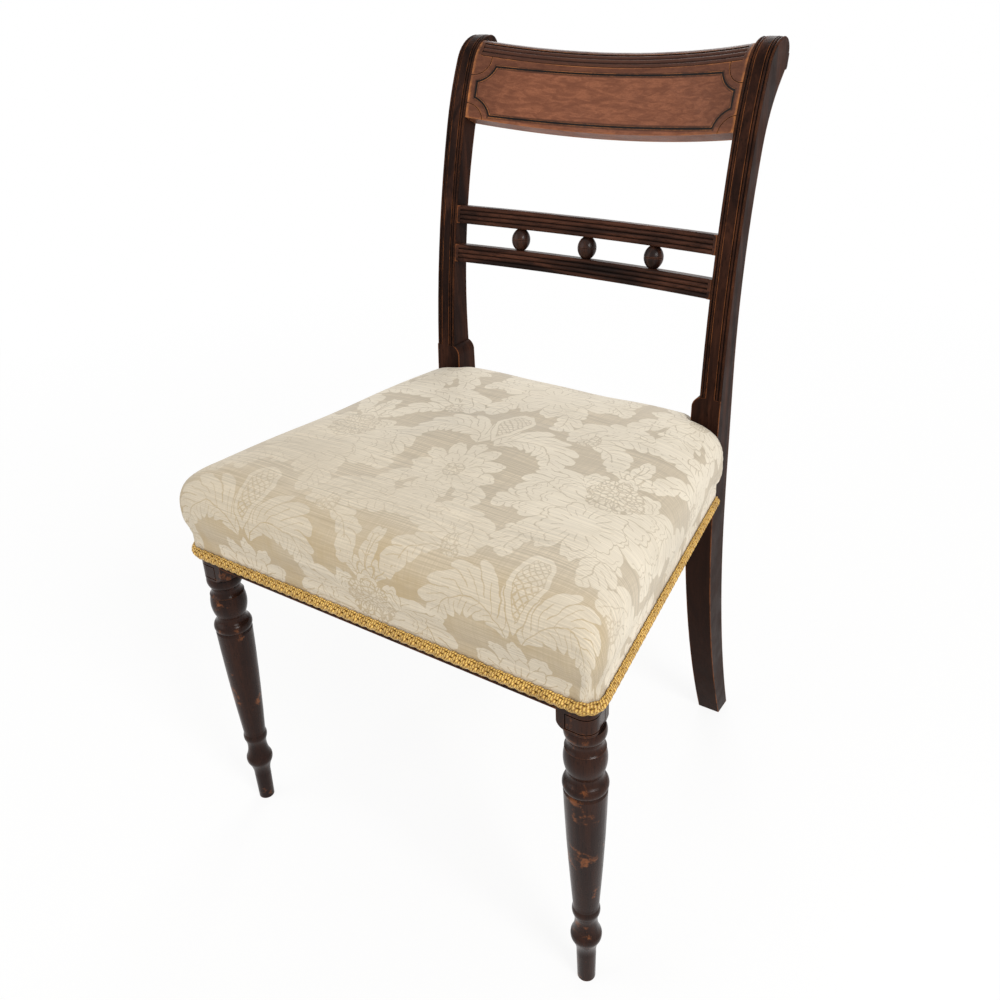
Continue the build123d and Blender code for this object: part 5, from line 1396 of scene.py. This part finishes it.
class CHAIR_OT_stage(bpy.types.Operator):
    """Set the floor, lamps and camera"""

    bl_idname = "chair.stage"
    bl_label = "Stage"

    def execute(self, context):
        stage = context.scene.chair_stage
        self.floor()
        self.sky(context.scene, stage.sky)
        seat_middle, back_middle = (0, 0, 0.4), (0, 0, 0.6)
        self.lamp("key", (1.9, -0.8, 1.8), seat_middle, 0.8, stage.key_power)
        self.lamp("fill", (-1.5, -1.6, 1.4), seat_middle, 1.8, stage.fill_power)
        self.lamp("back", (-0.7, 1.7, 1.7), back_middle, 1.2, stage.fill_power)
        self.camera(context.scene, stage)
        context.scene.view_settings.view_transform = "Standard"
        return {"FINISHED"}

    @staticmethod
    def seen(w):
        """1 for what the camera sees, straight or in a reflection or through glass."""
        path = w.node("ShaderNodeLightPath").outputs
        return w.max(path["Is Camera Ray"], w.max(path["Is Glossy Ray"], path["Is Transmission Ray"]))

    def floor(self):
        """A wide pale floor that is white to the camera, takes the chair's shadow and is clear from below."""
        material = bpy.data.materials.new("pale_floor")
        w = cleared(material)
        pale = w.node("ShaderNodeBsdfDiffuse", {"Color": (0.94, 0.94, 0.94, 1.0)}).outputs[0]
        white = w.node("ShaderNodeEmission", {"Color": WHITE, "Strength": 1.0}).outputs[0]
        away = w.node("ShaderNodeVectorMath", {0: w.place()}, operation="LENGTH").outputs["Value"]
        share = w.mul(self.seen(w), w.smooth(away, *FLOOR_FADE, 0.87, 1.0))
        both = w.node("ShaderNodeMixShader", {0: share, 1: pale, 2: white}).outputs[0]
        clear = w.node("ShaderNodeBsdfTransparent").outputs[0]
        under = w.node("ShaderNodeNewGeometry").outputs["Backfacing"]
        below = w.mul(under, w.node("ShaderNodeLightPath").outputs["Is Camera Ray"])
        both = w.node("ShaderNodeMixShader", {0: below, 1: both, 2: clear}).outputs[0]
        w.node("ShaderNodeOutputMaterial", {"Surface": both})
        side = np.linspace(-FLOOR_HALF, FLOOR_HALF, FLOOR_LINES)
        x, y = np.meshgrid(side, side)
        points = np.stack([x, y, np.zeros_like(x)], axis=-1)
        made = mesh_object("floor", points, grid_faces(FLOOR_LINES, FLOOR_LINES), material)

    def sky(self, scene, strength):
        """Even pale light from all round, white behind the chair."""
        scene.world = bpy.data.worlds.new("studio")
        w = cleared(scene.world)
        pale = {"Color": (1.0, 0.985, 0.96, 1.0), "Strength": strength}
        light = w.node("ShaderNodeBackground", pale).outputs[0]
        white = w.node("ShaderNodeBackground", {"Color": WHITE, "Strength": 1.0}).outputs[0]
        both = w.node("ShaderNodeMixShader", {0: self.seen(w), 1: light, 2: white}).outputs[0]
        w.node("ShaderNodeOutputWorld", {"Surface": both})

    @staticmethod
    def lamp(name, place, aim, size, energy):
        """A square soft lamp that faces a point."""
        data = bpy.data.lights.new(name, "AREA")
        data.size = size
        data.energy = energy
        made = bpy.data.objects.new(name, data)
        made.location = place
        made.rotation_euler = (Vector(aim) - Vector(place)).to_track_quat("-Z", "Y").to_euler()
        bpy.context.scene.collection.objects.link(made)

    @staticmethod
    def camera(scene, stage):
        """The camera: looks at the chair from its front right, from above, a little tilted."""
        az, el, roll = stage.azimuth, stage.elevation, stage.roll
        back = Vector((math.sin(az) * math.cos(el), -math.cos(az) * math.cos(el), math.sin(el)))
        right = Vector((math.cos(az), math.sin(az), 0))
        up = back.cross(right)
        tilted_right = math.cos(roll) * right + math.sin(roll) * up
        tilted_up = math.cos(roll) * up - math.sin(roll) * right
        data = bpy.data.cameras.new("camera")
        data.sensor_width = SENSOR_WIDTH
        data.lens = stage.lens
        data.shift_x, data.shift_y = CAMERA_SHIFT
        made = bpy.data.objects.new("camera", data)
        turn = Matrix((tilted_right, tilted_up, back)).transposed().to_4x4()
        made.matrix_world = Matrix.Translation(stage.place) @ turn
        scene.collection.objects.link(made)
        scene.camera = made


class CHAIR_PT_panel(bpy.types.Panel):
    """The chair's settings and steps"""

    bl_idname = "CHAIR_PT_panel"
    bl_label = "Side chair"
    bl_space_type = "VIEW_3D"
    bl_region_type = "UI"
    bl_category = "Side chair"

    def draw(self, context):
        for step in STEPS:
            self.layout.operator(step.bl_idname)
        for name in SETTINGS:
            group = getattr(context.scene, name)
            box = self.layout.box()
            for key in group.__annotations__:
                box.prop(group, key)


SETTINGS = {
    "chair_seat": ChairSeat,
    "chair_finish": ChairFinish,
    "chair_trim": ChairTrim,
    "chair_stage": ChairStage,
}
STEPS = (
    CHAIR_OT_frame,
    CHAIR_OT_fixings,
    CHAIR_OT_webbing,
    CHAIR_OT_hessian,
    CHAIR_OT_cover,
    CHAIR_OT_braid,
    CHAIR_OT_stage,
)


def register():
    """Adds the settings, steps and panel."""
    for kind in (*SETTINGS.values(), *STEPS, CHAIR_PT_panel):
        bpy.utils.register_class(kind)
    for name, kind in SETTINGS.items():
        setattr(bpy.types.Scene, name, PointerProperty(type=kind))


def unregister():
    """Takes them away again."""
    for name in SETTINGS:
        delattr(bpy.types.Scene, name)
    for kind in reversed((*SETTINGS.values(), *STEPS, CHAIR_PT_panel)):
        bpy.utils.unregister_class(kind)


def main():
    """Runs every step in order."""
    register()
    bpy.ops.chair.frame()
    bpy.ops.chair.fixings()
    bpy.ops.chair.webbing()
    bpy.ops.chair.hessian()
    bpy.ops.chair.cover()
    bpy.ops.chair.braid()
    bpy.ops.chair.stage()


if __name__ == "__main__":
    main()
